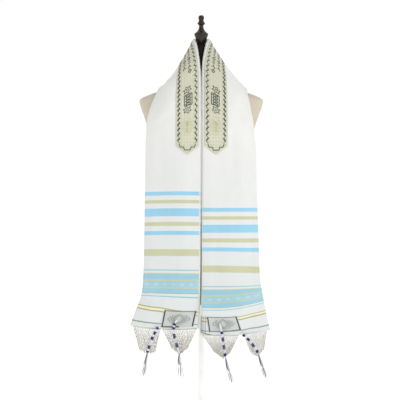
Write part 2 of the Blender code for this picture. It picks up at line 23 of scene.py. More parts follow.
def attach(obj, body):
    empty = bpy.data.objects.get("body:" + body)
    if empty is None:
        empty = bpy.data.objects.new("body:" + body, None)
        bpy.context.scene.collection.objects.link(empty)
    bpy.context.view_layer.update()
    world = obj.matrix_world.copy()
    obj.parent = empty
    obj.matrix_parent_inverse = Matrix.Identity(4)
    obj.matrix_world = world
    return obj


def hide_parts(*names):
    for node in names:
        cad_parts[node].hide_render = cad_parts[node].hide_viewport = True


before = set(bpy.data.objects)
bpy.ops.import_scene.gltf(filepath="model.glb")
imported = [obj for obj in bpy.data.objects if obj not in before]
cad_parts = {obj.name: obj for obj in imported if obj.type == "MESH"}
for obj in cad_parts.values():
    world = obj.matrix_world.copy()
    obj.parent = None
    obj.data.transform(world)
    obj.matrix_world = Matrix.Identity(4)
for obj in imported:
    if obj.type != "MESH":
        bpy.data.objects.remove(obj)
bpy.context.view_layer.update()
LOG = logging.getLogger("tallit")

MM = 0.001
TURN = 2.0 * math.pi
WHITE = (1.0, 1.0, 1.0, 1.0)

# The folded cloth's layers and what is sewn on them
WALL = 0.9 * MM
LAYER_STEP = 2.8 * MM
FORM_CLEARANCE = 5.6 * MM
FINIAL_CLEARANCE = 4.1 * MM
SOFTNESS = 3.0 * MM
MIDDLE_V = 0.45
BAND_WALL = 1.0 * MM
BAND_LIFT = 1.15 * MM
PATCH_LIFT = 1.05 * MM
PATCH_WALL = 0.8 * MM


class Section(NamedTuple):
    """A section across the folded shawl, in mm, with the woven distance from its hem on the flat cloth."""

    inner: tuple[float, float, float]
    middle: tuple[float, float, float]
    outer: tuple[float, float, float]
    back_reach: float
    fold_open: float
    woven: float | None = None


LEFT_PANEL = (
    Section((-7, -112, 271), (-88, -117, 268), (-201, -92, 276), 0.58, 7, 0),
    Section((-6, -116, 321), (-86, -120, 322), (-179, -97, 333), 0.64, 6, 49),
    Section((-4.5, -119, 368), (-80, -124, 369), (-168, -99, 370), 0.78, 4, 97),
    Section((-3.5, -120, 439), (-75, -125, 440), (-164, -98, 439), 0.90, 2, 167),
    Section((-3, -121, 560), (-73, -124, 561), (-162, -97, 559), 0.98, 1, 288),
    Section((-2, -120, 690), (-73, -122, 691), (-160, -94, 689), 1.0, 1, 419),
    Section((-2, -119, 797), (-73, -120, 797), (-159, -91, 793), 1.0, 1),
    Section((-2, -112, 890), (-73, -117, 879), (-157.5, -88.5, 832), 1.0, 1),
    Section((-2, -98, 954), (-73, -112, 922), (-155.5, -84, 866), 1.0, 1),
    Section((-3, -80, 1005), (-72, -102, 956), (-151, -78, 893), 1.0, 1),
    Section((-6, -60, 1051), (-70, -85, 993), (-142, -68, 922), 1.0, 1),
    Section((-12, -36, 1090), (-65, -58, 1022), (-129, -54, 951), 1.0, 1),
    Section((-20, -2, 1120), (-55, 0, 1050), (-112, 3, 974), 1.0, 1),
)
NECK_BACK = (
    Section((-15, 15, 1120), (-46, 38, 1047), (-94, 52, 962), 1.0, 1),
    Section((0, 21, 1119), (0, 62, 1044), (0, 88, 964), 1.0, 1),
    Section((15, 15, 1120), (46, 38, 1047), (98, 53, 960), 1.0, 1),
)
RIGHT_PANEL = (
    Section((20, -2, 1120), (61, 0, 1050), (125, 3, 970), 1.0, 1),
    Section((12, -36, 1090), (68, -58, 1020), (133, -58, 942), 1.0, 1),
    Section((6, -60, 1051), (72, -85, 991), (141, -69, 910), 1.0, 1),
    Section((4, -80, 1005), (74, -102, 953), (147, -79, 879), 1.0, 1),
    Section((4, -98, 954), (75, -112, 920), (150, -85, 851), 1.0, 1),
    Section((4, -112, 890), (75, -117, 876), (153, -88, 820), 1.0, 1),
    Section((4, -119, 797), (75, -120, 797), (156, -91, 791), 1.0, 1),
    Section((4, -121, 690), (75, -122, 690), (158, -94, 689), 1.0, 1, 466),
    Section((3, -122, 560), (75, -125, 560), (162, -97, 560), 0.98, 1, 335),
    Section((2, -122, 392), (76, -127, 392), (169, -101, 393), 0.90, 3, 167),
    Section((1, -125, 329), (80, -131, 330), (176, -105, 347), 0.78, 5, 97),
    Section((0, -121, 302), (83, -127, 299), (180.5, -102, 318), 0.66, 7, 49),
    Section((-1, -110, 254), (86, -115, 250), (193, -93, 264), 0.60, 8, 0),
)
SECTIONS = LEFT_PANEL + NECK_BACK + RIGHT_PANEL
LAST_ROW = len(SECTIONS) - 1
BACK_ROW = len(LEFT_PANEL) + 1


class Fold(NamedTuple):
    """A soft ridge (a trough below 0) from one place (row, v) to another; height and width in mm."""

    start: tuple[float, float]
    end: tuple[float, float]
    height: float
    width: float


# The large folds, which the solids under the cloth have too
FOLDS = (
    Fold((11.2, 0.78), (8.2, 0.54), 4.0, 19),
    Fold((10.6, 0.94), (8.4, 0.84), -2.5, 20),
    Fold((18.2, 0.64), (21.2, 0.55), 3.5, 19),
    Fold((18.0, 0.92), (20.0, 0.80), -2.5, 20),
    Fold((20.6, 0.74), (23.0, 0.68), 2.5, 19),
    Fold((6.4, 0.28), (2.6, 0.34), 2.5, 24),
    Fold((5.8, 0.72), (2.6, 0.68), -3.0, 24),
    Fold((22.0, 0.30), (25.6, 0.26), -2.5, 24),
    Fold((22.6, 0.74), (25.4, 0.70), 3.0, 24),
    Fold((1.0, 0.82), (0.0, 0.78), 5.0, 18),
    Fold((27.0, 0.78), (28.0, 0.76), -6.0, 20),
    Fold((27.0, 0.06), (28.0, 0.04), 4.0, 12),
    Fold((12.5, 0.80), (11.5, 0.78), -7.0, 18),
    Fold((13.0, 0.35), (12.9, 0.95), 4.0, 15),
    Fold((14.0, 0.40), (14.0, 0.95), -2.0, 13),
    Fold((15.0, 0.35), (15.1, 0.95), 4.0, 15),
)
# The finer creases of the cloth, placed one by one
CREASES = (
    Fold((10.9, 0.66), (9.3, 0.50), 1.6, 9),
    Fold((10.2, 0.80), (8.0, 0.60), -1.5, 8),
    Fold((9.4, 0.93), (7.6, 0.72), 1.4, 9),
    Fold((11.6, 0.88), (10.2, 0.74), -1.3, 8),
    Fold((8.6, 0.70), (6.9, 0.62), 1.1, 10),
    Fold((17.2, 0.80), (19.0, 0.66), 1.5, 8),
    Fold((18.4, 0.76), (20.6, 0.64), -1.4, 9),
    Fold((19.2, 0.92), (21.0, 0.78), 1.3, 9),
    Fold((20.2, 0.58), (22.6, 0.55), -1.1, 8),
    Fold((21.4, 0.86), (23.2, 0.82), -1.0, 9),
    Fold((6.8, 0.86), (5.4, 0.84), 1.0, 9),
    Fold((6.2, 0.52), (4.4, 0.55), -0.9, 11),
    Fold((5.2, 0.12), (3.6, 0.16), -0.8, 10),
    Fold((4.4, 0.86), (2.8, 0.90), 0.9, 9),
    Fold((23.4, 0.14), (25.0, 0.12), 0.9, 9),
    Fold((23.2, 0.50), (24.8, 0.53), 0.9, 11),
    Fold((24.4, 0.88), (25.8, 0.92), -0.9, 9),
    Fold((2.4, 0.70), (0.9, 0.66), -1.6, 9),
    Fold((2.0, 0.92), (0.7, 0.95), 1.4, 8),
    Fold((1.6, 0.30), (0.3, 0.24), 0.8, 10),
    Fold((26.2, 0.66), (27.6, 0.62), 1.5, 9),
    Fold((26.4, 0.90), (27.8, 0.95), -1.6, 8),
    Fold((26.8, 0.20), (27.8, 0.17), -1.0, 9),
    Fold((12.2, 0.55), (12.3, 0.98), -1.5, 9),
    Fold((12.6, 0.50), (12.5, 0.80), 1.2, 8),
    Fold((13.5, 0.45), (13.4, 0.98), -1.6, 9),
    Fold((14.5, 0.60), (14.6, 0.98), 1.4, 9),
    Fold((15.5, 0.50), (15.7, 0.96), -1.5, 9),
    Fold((16.2, 0.62), (16.3, 0.98), 1.3, 8),
    Fold((11.3, 0.45), (12.6, 0.60), 1.1, 8),
    Fold((16.8, 0.44), (15.6, 0.58), 1.1, 8),
)


class Bunch(NamedTuple):
    """A bunch of the fringe, in mm: its hem row and stretch of the hem, how it gathers, leans and tapers."""

    name: str
    row: int
    first: float
    last: float
    keep: float
    lean: float
    length: float
    trim: float


BUNCHES = (
    Bunch("left_outer", 0, 0.605, 0.985, 0.50, 2, 80, 6),
    Bunch("left_inner", 0, 0.035, 0.570, 0.24, 0, 80, 18),
    Bunch("right_inner", LAST_ROW, 0.030, 0.560, 0.22, 7, 72, 16),
    Bunch("right_outer", LAST_ROW, 0.640, 0.985, 0.42, 9, 74, 14),
)


class Tassel(NamedTuple):
    """A corner tassel: its root (row, v) and its bend, last knot and tips from there, in mm."""

    name: str
    root: tuple[float, float]
    on_patch: bool
    bend: tuple[float, float]
    knot: tuple[float, float]
    tips: tuple[float, float]
    spread: float
    bound: tuple[float, ...]


# Where the dark windings lie down each tassel's stem, as shares of it
LEFT_OUTER_BOUND = (0.08, 0.29, 0.48, 0.78, 0.98)
LEFT_INNER_BOUND = (0.26, 0.41, 0.62, 0.80)
RIGHT_INNER_BOUND = (0.39, 0.58, 0.74, 0.92)
RIGHT_OUTER_BOUND = (0.18, 0.42, 0.68, 0.93)
TASSELS = (
    Tassel("left_outer", (0.10, 0.632), False, (-18, -34), (-31, -73), (-46, -146), 13, LEFT_OUTER_BOUND),
    Tassel("left_inner", (0.52, 0.360), True, (-9, -32), (7, -95), (9, -168), 21, LEFT_INNER_BOUND),
    Tassel("right_inner", (27.28, 0.290), True, (7, -34), (15, -94), (33, -174), 15, RIGHT_INNER_BOUND),
    Tassel("right_outer", (27.90, 0.600), False, (24, -21), (48, -55), (71, -134), 12, RIGHT_OUTER_BOUND),
)


class Corners(NamedTuple):
    """The places (row, v) of a sewn patch's four corners."""

    lower_inner: tuple[float, float]
    lower_outer: tuple[float, float]
    upper_inner: tuple[float, float]
    upper_outer: tuple[float, float]


PATCHES = {
    "left": Corners((0.12, 0.097), (0.08, 0.600), (1.0, 0.040), (1.0, 0.567)),
    "right": Corners((27.82, 0.117), (27.69, 0.610), (26.82, 0.082), (26.82, 0.555)),
}


class Ring(NamedTuple):
    """A level section of the torso, in mm, and how square it is."""

    height: float
    half_width: float
    front: float
    back: float
    squareness: float


TORSO = (
    Ring(335, 146, 88, 100, 2.2),
    Ring(345, 151, 92, 104, 2.2),
    Ring(400, 158, 95, 110, 2.2),
    Ring(470, 148, 90, 102, 2.2),
    Ring(540, 128, 86, 86, 2.2),
    Ring(600, 118, 84, 75, 2.2),
    Ring(660, 121, 87, 74, 2.2),
    Ring(730, 134, 95, 79, 2.3),
    Ring(800, 146, 101, 85, 2.4),
    Ring(850, 156, 99, 88, 2.6),
    Ring(895, 171, 90, 88, 2.8),
    Ring(928, 182, 78, 84, 2.7),
    Ring(940, 182, 72, 81, 2.6),
    Ring(949, 166, 67, 78, 2.5),
    Ring(960, 138, 63, 75, 2.5),
    Ring(973, 104, 57, 70, 2.3),
    Ring(988, 72, 50, 61, 2.1),
    Ring(1004, 54, 46, 52, 2.0),
    Ring(1020, 46, 44, 46, 2.0),
)
# Turned profiles as (radius, height) in mm, from the top down
NECK_CAP = (
    (9, 1104),
    (14, 1102.5),
    (20, 1096),
    (27, 1085),
    (34, 1070),
    (40, 1053),
    (43, 1036),
    (43, 1024),
    (41.5, 1020.3),
)
FINIAL = (
    (5, 1191),
    (8, 1188),
    (8.6, 1183.5),
    (7.4, 1176),
    (8.6, 1171.5),
    (11.3, 1168.5),
    (11, 1165.5),
    (7.4, 1161.5),
    (6.6, 1157.5),
    (8.4, 1150),
    (13.6, 1142.5),
    (19.6, 1137.5),
    (21, 1133.5),
    (19.2, 1128.5),
    (16.8, 1121.5),
    (13.2, 1112.5),
    (10.2, 1107),
    (9, 1104.3),
)
POLE = ((45, 334.7), (45, 328.7), (13.5, 326.7), (9.5, 318.7), (9.5, 26.3), (15.5, 22.3), (23.5, 12.3))
BASE = ((146, 12), (148.8, 10.8), (150, 8), (150, 1), (149, 0))


def linear(colour: str) -> tuple[float, float, float, float]:
    """Turn an sRGB hex colour into a linear one.

    Args:
        colour: The colour as #rrggbb.

    Returns:
        Red, green, blue and an opaque alpha.
    """
    parts = [int(colour[i : i + 2], 16) / 255 for i in (1, 3, 5)]
    red, green, blue = (p / 12.92 if p <= 0.04045 else ((p + 0.055) / 1.055) ** 2.4 for p in parts)
    return red, green, blue, 1.0


def add_node(
    tree: bpy.types.NodeTree, kind: str, sockets: Mapping[Any, Any], **settings: Any
) -> bpy.types.Node:
    """Add a node with its settings, socket values and links.

    Args:
        tree: The material's node tree.
        kind: The node's type name.
        sockets: Input names or numbers, each with a value or with the output that feeds it.
        settings: The node's own settings.

    Returns:
        The new node.
    """
    node = tree.nodes.new(kind)
    for name, value in settings.items():
        setattr(node, name, value)
    for key, value in sockets.items():
        if isinstance(value, bpy.types.NodeSocket):
            tree.links.new(value, node.inputs[key])
        else:
            node.inputs[key].default_value = value
    return node


def wave_scale(repeat: float) -> float:
    """Return the scale at which a wave texture, 0.3142 units long at scale 1, repeats at this distance."""
    return TURN / 20.0 / repeat


def set_stops(ramp: bpy.types.ColorRamp, stops: Sequence[tuple[float, Sequence[float]]]) -> None:
    """Give a colour ramp its stops.

    Args:
        ramp: The ramp to fill.
        stops: Positions from 0 to 1, rising, each with its colour.
    """
    elements = ramp.elements
    while len(elements) > 1:
        elements.remove(elements[-1])
    elements[0].position = stops[0][0]
    elements[0].color = stops[0][1]
    for position, colour in stops[1:]:
        elements.new(position).color = colour


@dataclass(frozen=True)
class Finish(ABC):
    """What a surface is made of, and the material that shows it."""

    name: str
    colour: str
    roughness: float

    def material(self) -> bpy.types.Material:
        """Build the material of this finish.

        Returns:
            The new material.
        """
        made = bpy.data.materials.new(self.name)
        made.use_nodes = True
        tree = made.node_tree
        shader = tree.nodes["Principled BSDF"]
        shader.inputs["Base Color"].default_value = linear(self.colour)
        shader.inputs["Roughness"].default_value = self.roughness
        made.diffuse_color = linear(self.colour)
        self.dress(tree, shader)
        return made

    @abstractmethod
    def dress(self, tree: bpy.types.NodeTree, shader: bpy.types.Node) -> None:
        """Add the finish's own detail.

        Args:
            tree: The material's node tree.
            shader: Its Principled shader.
        """


class Tint(Enum):
    """The dyed and metallic yarns of the stripes."""

    SKY = "#94cbe4"
    LOW_SKY = "#94c6d9"
    PALE_SKY = "#a0c9d6"
    GOLD = "#c5c7a2"
    OLIVE = "#a9a376"
    CREAM = "#ebe7c6"
    TEAL = "#8fc6cd"
    MOSS = "#8b9a90"


class Stripe(NamedTuple):
    """A woven stripe: from and to, in mm from the hem on the flat cloth, and its yarn."""

    start: float
    end: float
    tint: Tint


LOW_STRIPES = (
    Stripe(11, 14, Tint.MOSS),
    Stripe(41.5, 45, Tint.OLIVE),
    Stripe(45, 51, Tint.CREAM),
    Stripe(51, 54.5, Tint.OLIVE),
    Stripe(88.5, 91.5, Tint.TEAL),
    Stripe(97, 100, Tint.OLIVE),
    Stripe(100, 112, Tint.LOW_SKY),
    Stripe(112, 116, Tint.GOLD),
    Stripe(116, 134, Tint.PALE_SKY),
    Stripe(134, 139, Tint.GOLD),
    Stripe(139, 153, Tint.LOW_SKY),
    Stripe(153, 157, Tint.GOLD),
    Stripe(163, 167, Tint.TEAL),
)
HIGH_STRIPES = (
    Stripe(206, 226, Tint.GOLD),
    Stripe(266, 278, Tint.SKY),
    Stripe(293, 304, Tint.GOLD),
    Stripe(320, 344, Tint.SKY),
    Stripe(358, 369, Tint.GOLD),
    Stripe(382, 393, Tint.SKY),
)


@dataclass(frozen=True)
class WovenWool(Finish):
    """Fine wool and viscose shawl cloth: a soft white ground with a low sheen, and glossier woven stripes."""

    pitch: float = 0.6 * MM
    # The ground's colour towards the hems, a painted shade cooler and greyer than the middle's
    ends: str = "#dadedd"
    stripe_span: float = 420 * MM
    selvedge: float = 4.0 * MM
    lozenge: float = 13 * MM
    lozenge_half: float = 6.5 * MM
    lozenge_row: float = 125 * MM
    lozenge_tint: str = "#bed9d6"
    # The share of the striped part where the high stripes take over from the low ones
    high_from: float = 0.43

    def dress(self, tree: bpy.types.NodeTree, shader: bpy.types.Node) -> None:
        """Weave the ground, the stripes and the small lozenges of the middle stripe.

        Args:
            tree: The material's node tree.
            shader: Its Principled shader.
        """
        place = add_node(tree, "ShaderNodeUVMap", {}, uv_map="cloth").outputs[0]
        parts = add_node(tree, "ShaderNodeSeparateXYZ", {0: place}).outputs
        # Each pick lies a little off the straight, by about half a thread
        waver = add_node(tree, "ShaderNodeTexNoise", {"Vector": place, "Scale": 90.0, "Detail": 2.0})
        slip = add_node(
            tree, "ShaderNodeMath", {0: waver.outputs[0], 1: 0.0016, 2: -0.0008}, operation="MULTIPLY_ADD"
        )
        hem = add_node(tree, "ShaderNodeMath", {0: parts[1], 1: slip.outputs[0]}, operation="ADD").outputs[0]
        share = add_node(tree, "ShaderNodeMath", {0: hem, 1: self.stripe_span}, operation="DIVIDE").outputs[0]
        low = self._stripes(tree, share, LOW_STRIPES)
        high = self._stripes(tree, share, HIGH_STRIPES)
        above = add_node(tree, "ShaderNodeMath", {0: share, 1: self.high_from}, operation="GREATER_THAN")
        yarn = add_node(
            tree,
            "ShaderNodeMix",
            {0: above.outputs[0], 6: low.outputs[0], 7: high.outputs[0]},
            data_type="RGBA",
        ).outputs[2]
        dyed = add_node(
            tree, "ShaderNodeMath", {0: low.outputs[1], 1: high.outputs[1]}, operation="ADD"
        ).outputs[0]
        # The selvedge at the free edge has no stripes
        inside = add_node(tree, "ShaderNodeMath", {0: parts[0], 1: self.selvedge}, operation="GREATER_THAN")
        dyed = add_node(
            tree, "ShaderNodeMath", {0: dyed, 1: inside.outputs[0]}, operation="MULTIPLY"
        ).outputs[0]
        # Long flecks along the picks, 12 mm by 1 mm, where the yarn is thicker, with painted glints where it
        # catches the light
        stretched = add_node(tree, "ShaderNodeMapping", {"Vector": place, "Scale": (80.0, 900.0, 1.0)})
        fleck = add_node(
            tree, "ShaderNodeTexNoise", {"Vector": stretched.outputs[0], "Scale": 1.0, "Detail": 3.0}
        )
        drift = add_node(tree, "ShaderNodeTexNoise", {"Vector": place, "Scale": 14.0, "Detail": 2.0})
        blend = add_node(tree, "ShaderNodeMath", {0: fleck.outputs[0], 1: drift.outputs[0]}, operation="ADD")
        shade = add_node(
            tree, "ShaderNodeMapRange", {0: blend.outputs[0], 1: 0.7, 2: 1.3, 3: 0.93, 4: 1.05}
        ).outputs[0]
        lozenges = self._lozenges(tree, parts[0], hem)
        yarn = add_node(
            tree, "ShaderNodeMix", {0: lozenges, 6: yarn, 7: linear(self.lozenge_tint)}, data_type="RGBA"
        ).outputs[2]
        shaded = add_node(tree, "ShaderNodeVectorMath", {0: yarn, 3: shade}, operation="SCALE").outputs[0]
        ground_shade = add_node(
            tree, "ShaderNodeMapRange", {0: blend.outputs[0], 1: 0.7, 2: 1.3, 3: 0.985, 4: 1.012}
        ).outputs[0]
        # Painted shade: the ground is painted a little cooler and greyer towards each hem than up the middle
        upper = add_node(tree, "ShaderNodeMapRange", {0: share, 1: 0.4, 2: 1.4, 3: 0.0, 4: 1.0}).outputs[0]
        plain = add_node(
            tree, "ShaderNodeMix", {0: upper, 6: linear(self.ends), 7: linear(self.colour)}, data_type="RGBA"
        ).outputs[2]
        ground = add_node(
            tree, "ShaderNodeVectorMath", {0: plain, 3: ground_shade}, operation="SCALE"
        ).outputs[0]
        colour = add_node(tree, "ShaderNodeMix", {0: dyed, 6: ground, 7: shaded}, data_type="RGBA").outputs[2]
        tree.links.new(colour, shader.inputs["Base Color"])
        gloss = add_node(tree, "ShaderNodeMapRange", {0: dyed, 1: 0.0, 2: 1.0, 3: self.roughness, 4: 0.38})
        tree.links.new(gloss.outputs[0], shader.inputs["Roughness"])
        shader.inputs["Sheen Weight"].default_value = 0.12
        shader.inputs["Sheen Roughness"].default_value = 0.45
        self._weave(tree, shader, place, fleck.outputs[0])

    def _stripes(
        self, tree: bpy.types.NodeTree, share: bpy.types.NodeSocket, stripes: Sequence[Stripe]
    ) -> bpy.types.Node:
        """Return a ramp with the colour of each stripe, its alpha 1 on a stripe and 0 between them.

        Args:
            tree: The material's node tree.
            share: How far up the striped part the cloth is, from 0 to 1.
            stripes: The stripes of this ramp, rising.

        Returns:
            The ramp's node.
        """
        blank = (1.0, 1.0, 1.0, 0.0)
        stops = [(0.0, blank)]
        for stripe in stripes:
            colour = linear(stripe.tint.value)
            start, end = (edge * MM / self.stripe_span for edge in (stripe.start, stripe.end))
            if stops[-1][0] == start:
                stops[-1] = (start, colour)
            else:
                stops.append((start, colour))
            stops.append((end, blank))
        node = add_node(tree, "ShaderNodeValToRGB", {0: share})
        node.color_ramp.interpolation = "CONSTANT"
        set_stops(node.color_ramp, stops)
        return node

    def _lozenges(
        self, tree: bpy.types.NodeTree, across: bpy.types.NodeSocket, hem: bpy.types.NodeSocket
    ) -> bpy.types.NodeSocket:
        """Return the mask of a row of small lozenges along the pale stripe.

        Args:
            tree: The material's node tree.
            across: The place across the cloth, in metres.
            hem: The woven distance from the hem, in metres.

        Returns:
            An output that is 1 on a lozenge and 0 elsewhere.
        """
        repeat = add_node(tree, "ShaderNodeMath", {0: across, 1: self.lozenge}, operation="DIVIDE").outputs[0]
        wave = add_node(tree, "ShaderNodeMath", {0: repeat, 1: 1.0}, operation="PINGPONG").outputs[0]
        side = add_node(tree, "ShaderNodeMath", {0: hem, 1: -self.lozenge_row}, operation="ADD").outputs[0]
        side = add_node(tree, "ShaderNodeMath", {0: side}, operation="ABSOLUTE").outputs[0]
        rise = add_node(tree, "ShaderNodeMath", {0: side, 1: self.lozenge_half}, operation="DIVIDE")
        total = add_node(tree, "ShaderNodeMath", {0: wave, 1: rise.outputs[0]}, operation="ADD").outputs[0]
        solid = add_node(tree, "ShaderNodeMath", {0: total, 1: 0.62}, operation="LESS_THAN").outputs[0]
        heart = add_node(tree, "ShaderNodeMath", {0: total, 1: 0.30}, operation="GREATER_THAN").outputs[0]
        return add_node(tree, "ShaderNodeMath", {0: solid, 1: heart}, operation="MULTIPLY").outputs[0]

    def _weave(
        self,
        tree: bpy.types.NodeTree,
        shader: bpy.types.Node,
        place: bpy.types.NodeSocket,
        fleck: bpy.types.NodeSocket,
    ) -> None:
        """Add the relief of warp and weft.

        Args:
            tree: The material's node tree.
            shader: Its Principled shader.
            place: The place on the flat cloth, in metres.
            fleck: How thick the yarn is.
        """
        scale = wave_scale(self.pitch)
        warp = add_node(tree, "ShaderNodeTexWave", {"Vector": place, "Scale": scale}, bands_direction="X")
        weft = add_node(tree, "ShaderNodeTexWave", {"Vector": place, "Scale": scale}, bands_direction="Y")
        over = add_node(
            tree, "ShaderNodeMath", {0: warp.outputs[1], 1: weft.outputs[1]}, operation="MULTIPLY"
        ).outputs[0]
        height = add_node(tree, "ShaderNodeMath", {0: over, 1: fleck}, operation="ADD").outputs[0]
        bump = add_node(tree, "ShaderNodeBump", {"Strength": 0.28, "Distance": 0.25 * MM, "Height": height})
        tree.links.new(bump.outputs[0], shader.inputs["Normal"])


@dataclass(frozen=True)
class Brocade(Finish):
    """Rayon brocade: a satin ground with a small tone-on-tone lozenge damask that flashes as it turns."""

    repeat: float = 9 * MM
    light: str = "#dbdac8"
    # The satin threads' distance along the band
    satin: float = 0.5 * MM

    def dress(self, tree: bpy.types.NodeTree, shader: bpy.types.Node) -> None:
        """Weave the damask and the satin threads.

        Args:
            tree: The material's node tree.
            shader: Its Principled shader.
        """
        place = add_node(tree, "ShaderNodeUVMap", {}, uv_map="cloth").outputs[0]
        parts = add_node(tree, "ShaderNodeSeparateXYZ", {0: place}).outputs
        waves = []
        for part in parts[:2]:
            step = add_node(tree, "ShaderNodeMath", {0: part, 1: self.repeat / 2}, operation="DIVIDE")
            wave = add_node(tree, "ShaderNodeMath", {0: step.outputs[0], 1: 1.0}, operation="PINGPONG")
            waves.append(wave.outputs[0])
        total = add_node(tree, "ShaderNodeMath", {0: waves[0], 1: waves[1]}, operation="ADD").outputs[0]
        figure = add_node(tree, "ShaderNodeMapRange", {0: total, 1: 0.92, 2: 1.08, 3: 0.0, 4: 1.0}).outputs[0]
        drift = add_node(
            tree, "ShaderNodeTexNoise", {"Vector": place, "Scale": 22.0, "Detail": 3.0}
        ).outputs[0]
        tone = add_node(tree, "ShaderNodeMath", {0: figure, 1: drift}, operation="MULTIPLY").outputs[0]
        colour = add_node(
            tree,
            "ShaderNodeMix",
            {0: tone, 6: linear(self.colour), 7: linear(self.light)},
            data_type="RGBA",
        ).outputs[2]
        tree.links.new(colour, shader.inputs["Base Color"])
        gloss = add_node(tree, "ShaderNodeMapRange", {0: figure, 1: 0.0, 2: 1.0, 3: self.roughness, 4: 0.36})
        tree.links.new(gloss.outputs[0], shader.inputs["Roughness"])
        threads = add_node(
            tree, "ShaderNodeTexWave", {"Vector": place, "Scale": wave_scale(self.satin)}, bands_direction="X"
        ).outputs[1]
        height = add_node(tree, "ShaderNodeMath", {0: threads, 1: figure}, operation="ADD").outputs[0]
        bump = add_node(tree, "ShaderNodeBump", {"Strength": 0.3, "Distance": 0.2 * MM, "Height": height})
        tree.links.new(bump.outputs[0], shader.inputs["Normal"])


@dataclass(frozen=True)
class Yarn(Finish):
    """Spun or silky thread: matt fibres, a twist that shows as fine slanting ribs, slightly uneven dye."""

    twist: float = 1.2 * MM
    uneven: float = 0.10
    sheen: float = 0.2

    def dress(self, tree: bpy.types.NodeTree, shader: bpy.types.Node) -> None:
        """Add the uneven dye and the twist.

        Args:
            tree: The material's node tree.
            shader: Its Principled shader.
        """
        place = add_node(tree, "ShaderNodeTexCoord", {}).outputs["Object"]
        noise = add_node(
            tree, "ShaderNodeTexNoise", {"Vector": place, "Scale": 160.0, "Detail": 3.0}
        ).outputs[0]
        low, high = 1.0 - self.uneven, 1.0 + self.uneven * 0.6
        shade = add_node(tree, "ShaderNodeMapRange", {0: noise, 1: 0.3, 2: 0.7, 3: low, 4: high}).outputs[0]
        colour = add_node(
            tree, "ShaderNodeVectorMath", {0: linear(self.colour)[:3], 3: shade}, operation="SCALE"
        ).outputs[0]
        tree.links.new(colour, shader.inputs["Base Color"])
        shader.inputs["Sheen Weight"].default_value = self.sheen
        ply = add_node(
            tree,
            "ShaderNodeTexWave",
            {"Vector": place, "Scale": wave_scale(self.twist), "Distortion": 0.6},
            bands_direction="DIAGONAL",
        ).outputs[1]
        bump = add_node(tree, "ShaderNodeBump", {"Strength": 0.5, "Distance": 0.2 * MM, "Height": ply})
        tree.links.new(bump.outputs[0], shader.inputs["Normal"])


@dataclass(frozen=True)
class Linen(Finish):
    """Unbleached linen drawn tight over the form: a matt plain weave with slubs and a warm, uneven tone."""

    thread: float = 1.1 * MM
    slub: str = "#c2b69f"

    def dress(self, tree: bpy.types.NodeTree, shader: bpy.types.Node) -> None:
        """Weave the linen, drawn coarser than its 0.6 mm threads so that it shows.

        Args:
            tree: The material's node tree.
            shader: Its Principled shader.
        """
        place = add_node(tree, "ShaderNodeUVMap", {}, uv_map="cloth").outputs[0]
        ways = []
        for scale in ((420.0, 30.0, 1.0), (30.0, 420.0, 1.0)):
            drawn = add_node(tree, "ShaderNodeMapping", {"Vector": place, "Scale": scale}).outputs[0]
            way = add_node(tree, "ShaderNodeTexNoise", {"Vector": drawn, "Scale": 1.0, "Detail": 2.0})
            ways.append(way.outputs[0])
        slubs = add_node(tree, "ShaderNodeMath", {0: ways[0], 1: ways[1]}, operation="ADD").outputs[0]
        drift = add_node(
            tree, "ShaderNodeTexNoise", {"Vector": place, "Scale": 9.0, "Detail": 2.0}
        ).outputs[0]
        mixed = add_node(tree, "ShaderNodeMath", {0: slubs, 1: drift}, operation="ADD").outputs[0]
        share = add_node(tree, "ShaderNodeMapRange", {0: mixed, 1: 1.2, 2: 1.85, 3: 0.0, 4: 0.85}).outputs[0]
        colour = add_node(
            tree, "ShaderNodeMix", {0: share, 6: linear(self.colour), 7: linear(self.slub)}, data_type="RGBA"
        ).outputs[2]
        tree.links.new(colour, shader.inputs["Base Color"])
        scale = wave_scale(self.thread)
        warp = add_node(tree, "ShaderNodeTexWave", {"Vector": place, "Scale": scale}, bands_direction="X")
        weft = add_node(tree, "ShaderNodeTexWave", {"Vector": place, "Scale": scale}, bands_direction="Y")
        over = add_node(
            tree, "ShaderNodeMath", {0: warp.outputs[1], 1: weft.outputs[1]}, operation="MULTIPLY"
        ).outputs[0]
        height = add_node(tree, "ShaderNodeMath", {0: over, 1: slubs}, operation="ADD").outputs[0]
        bump = add_node(tree, "ShaderNodeBump", {"Strength": 0.45, "Distance": 0.35 * MM, "Height": height})
        tree.links.new(bump.outputs[0], shader.inputs["Normal"])


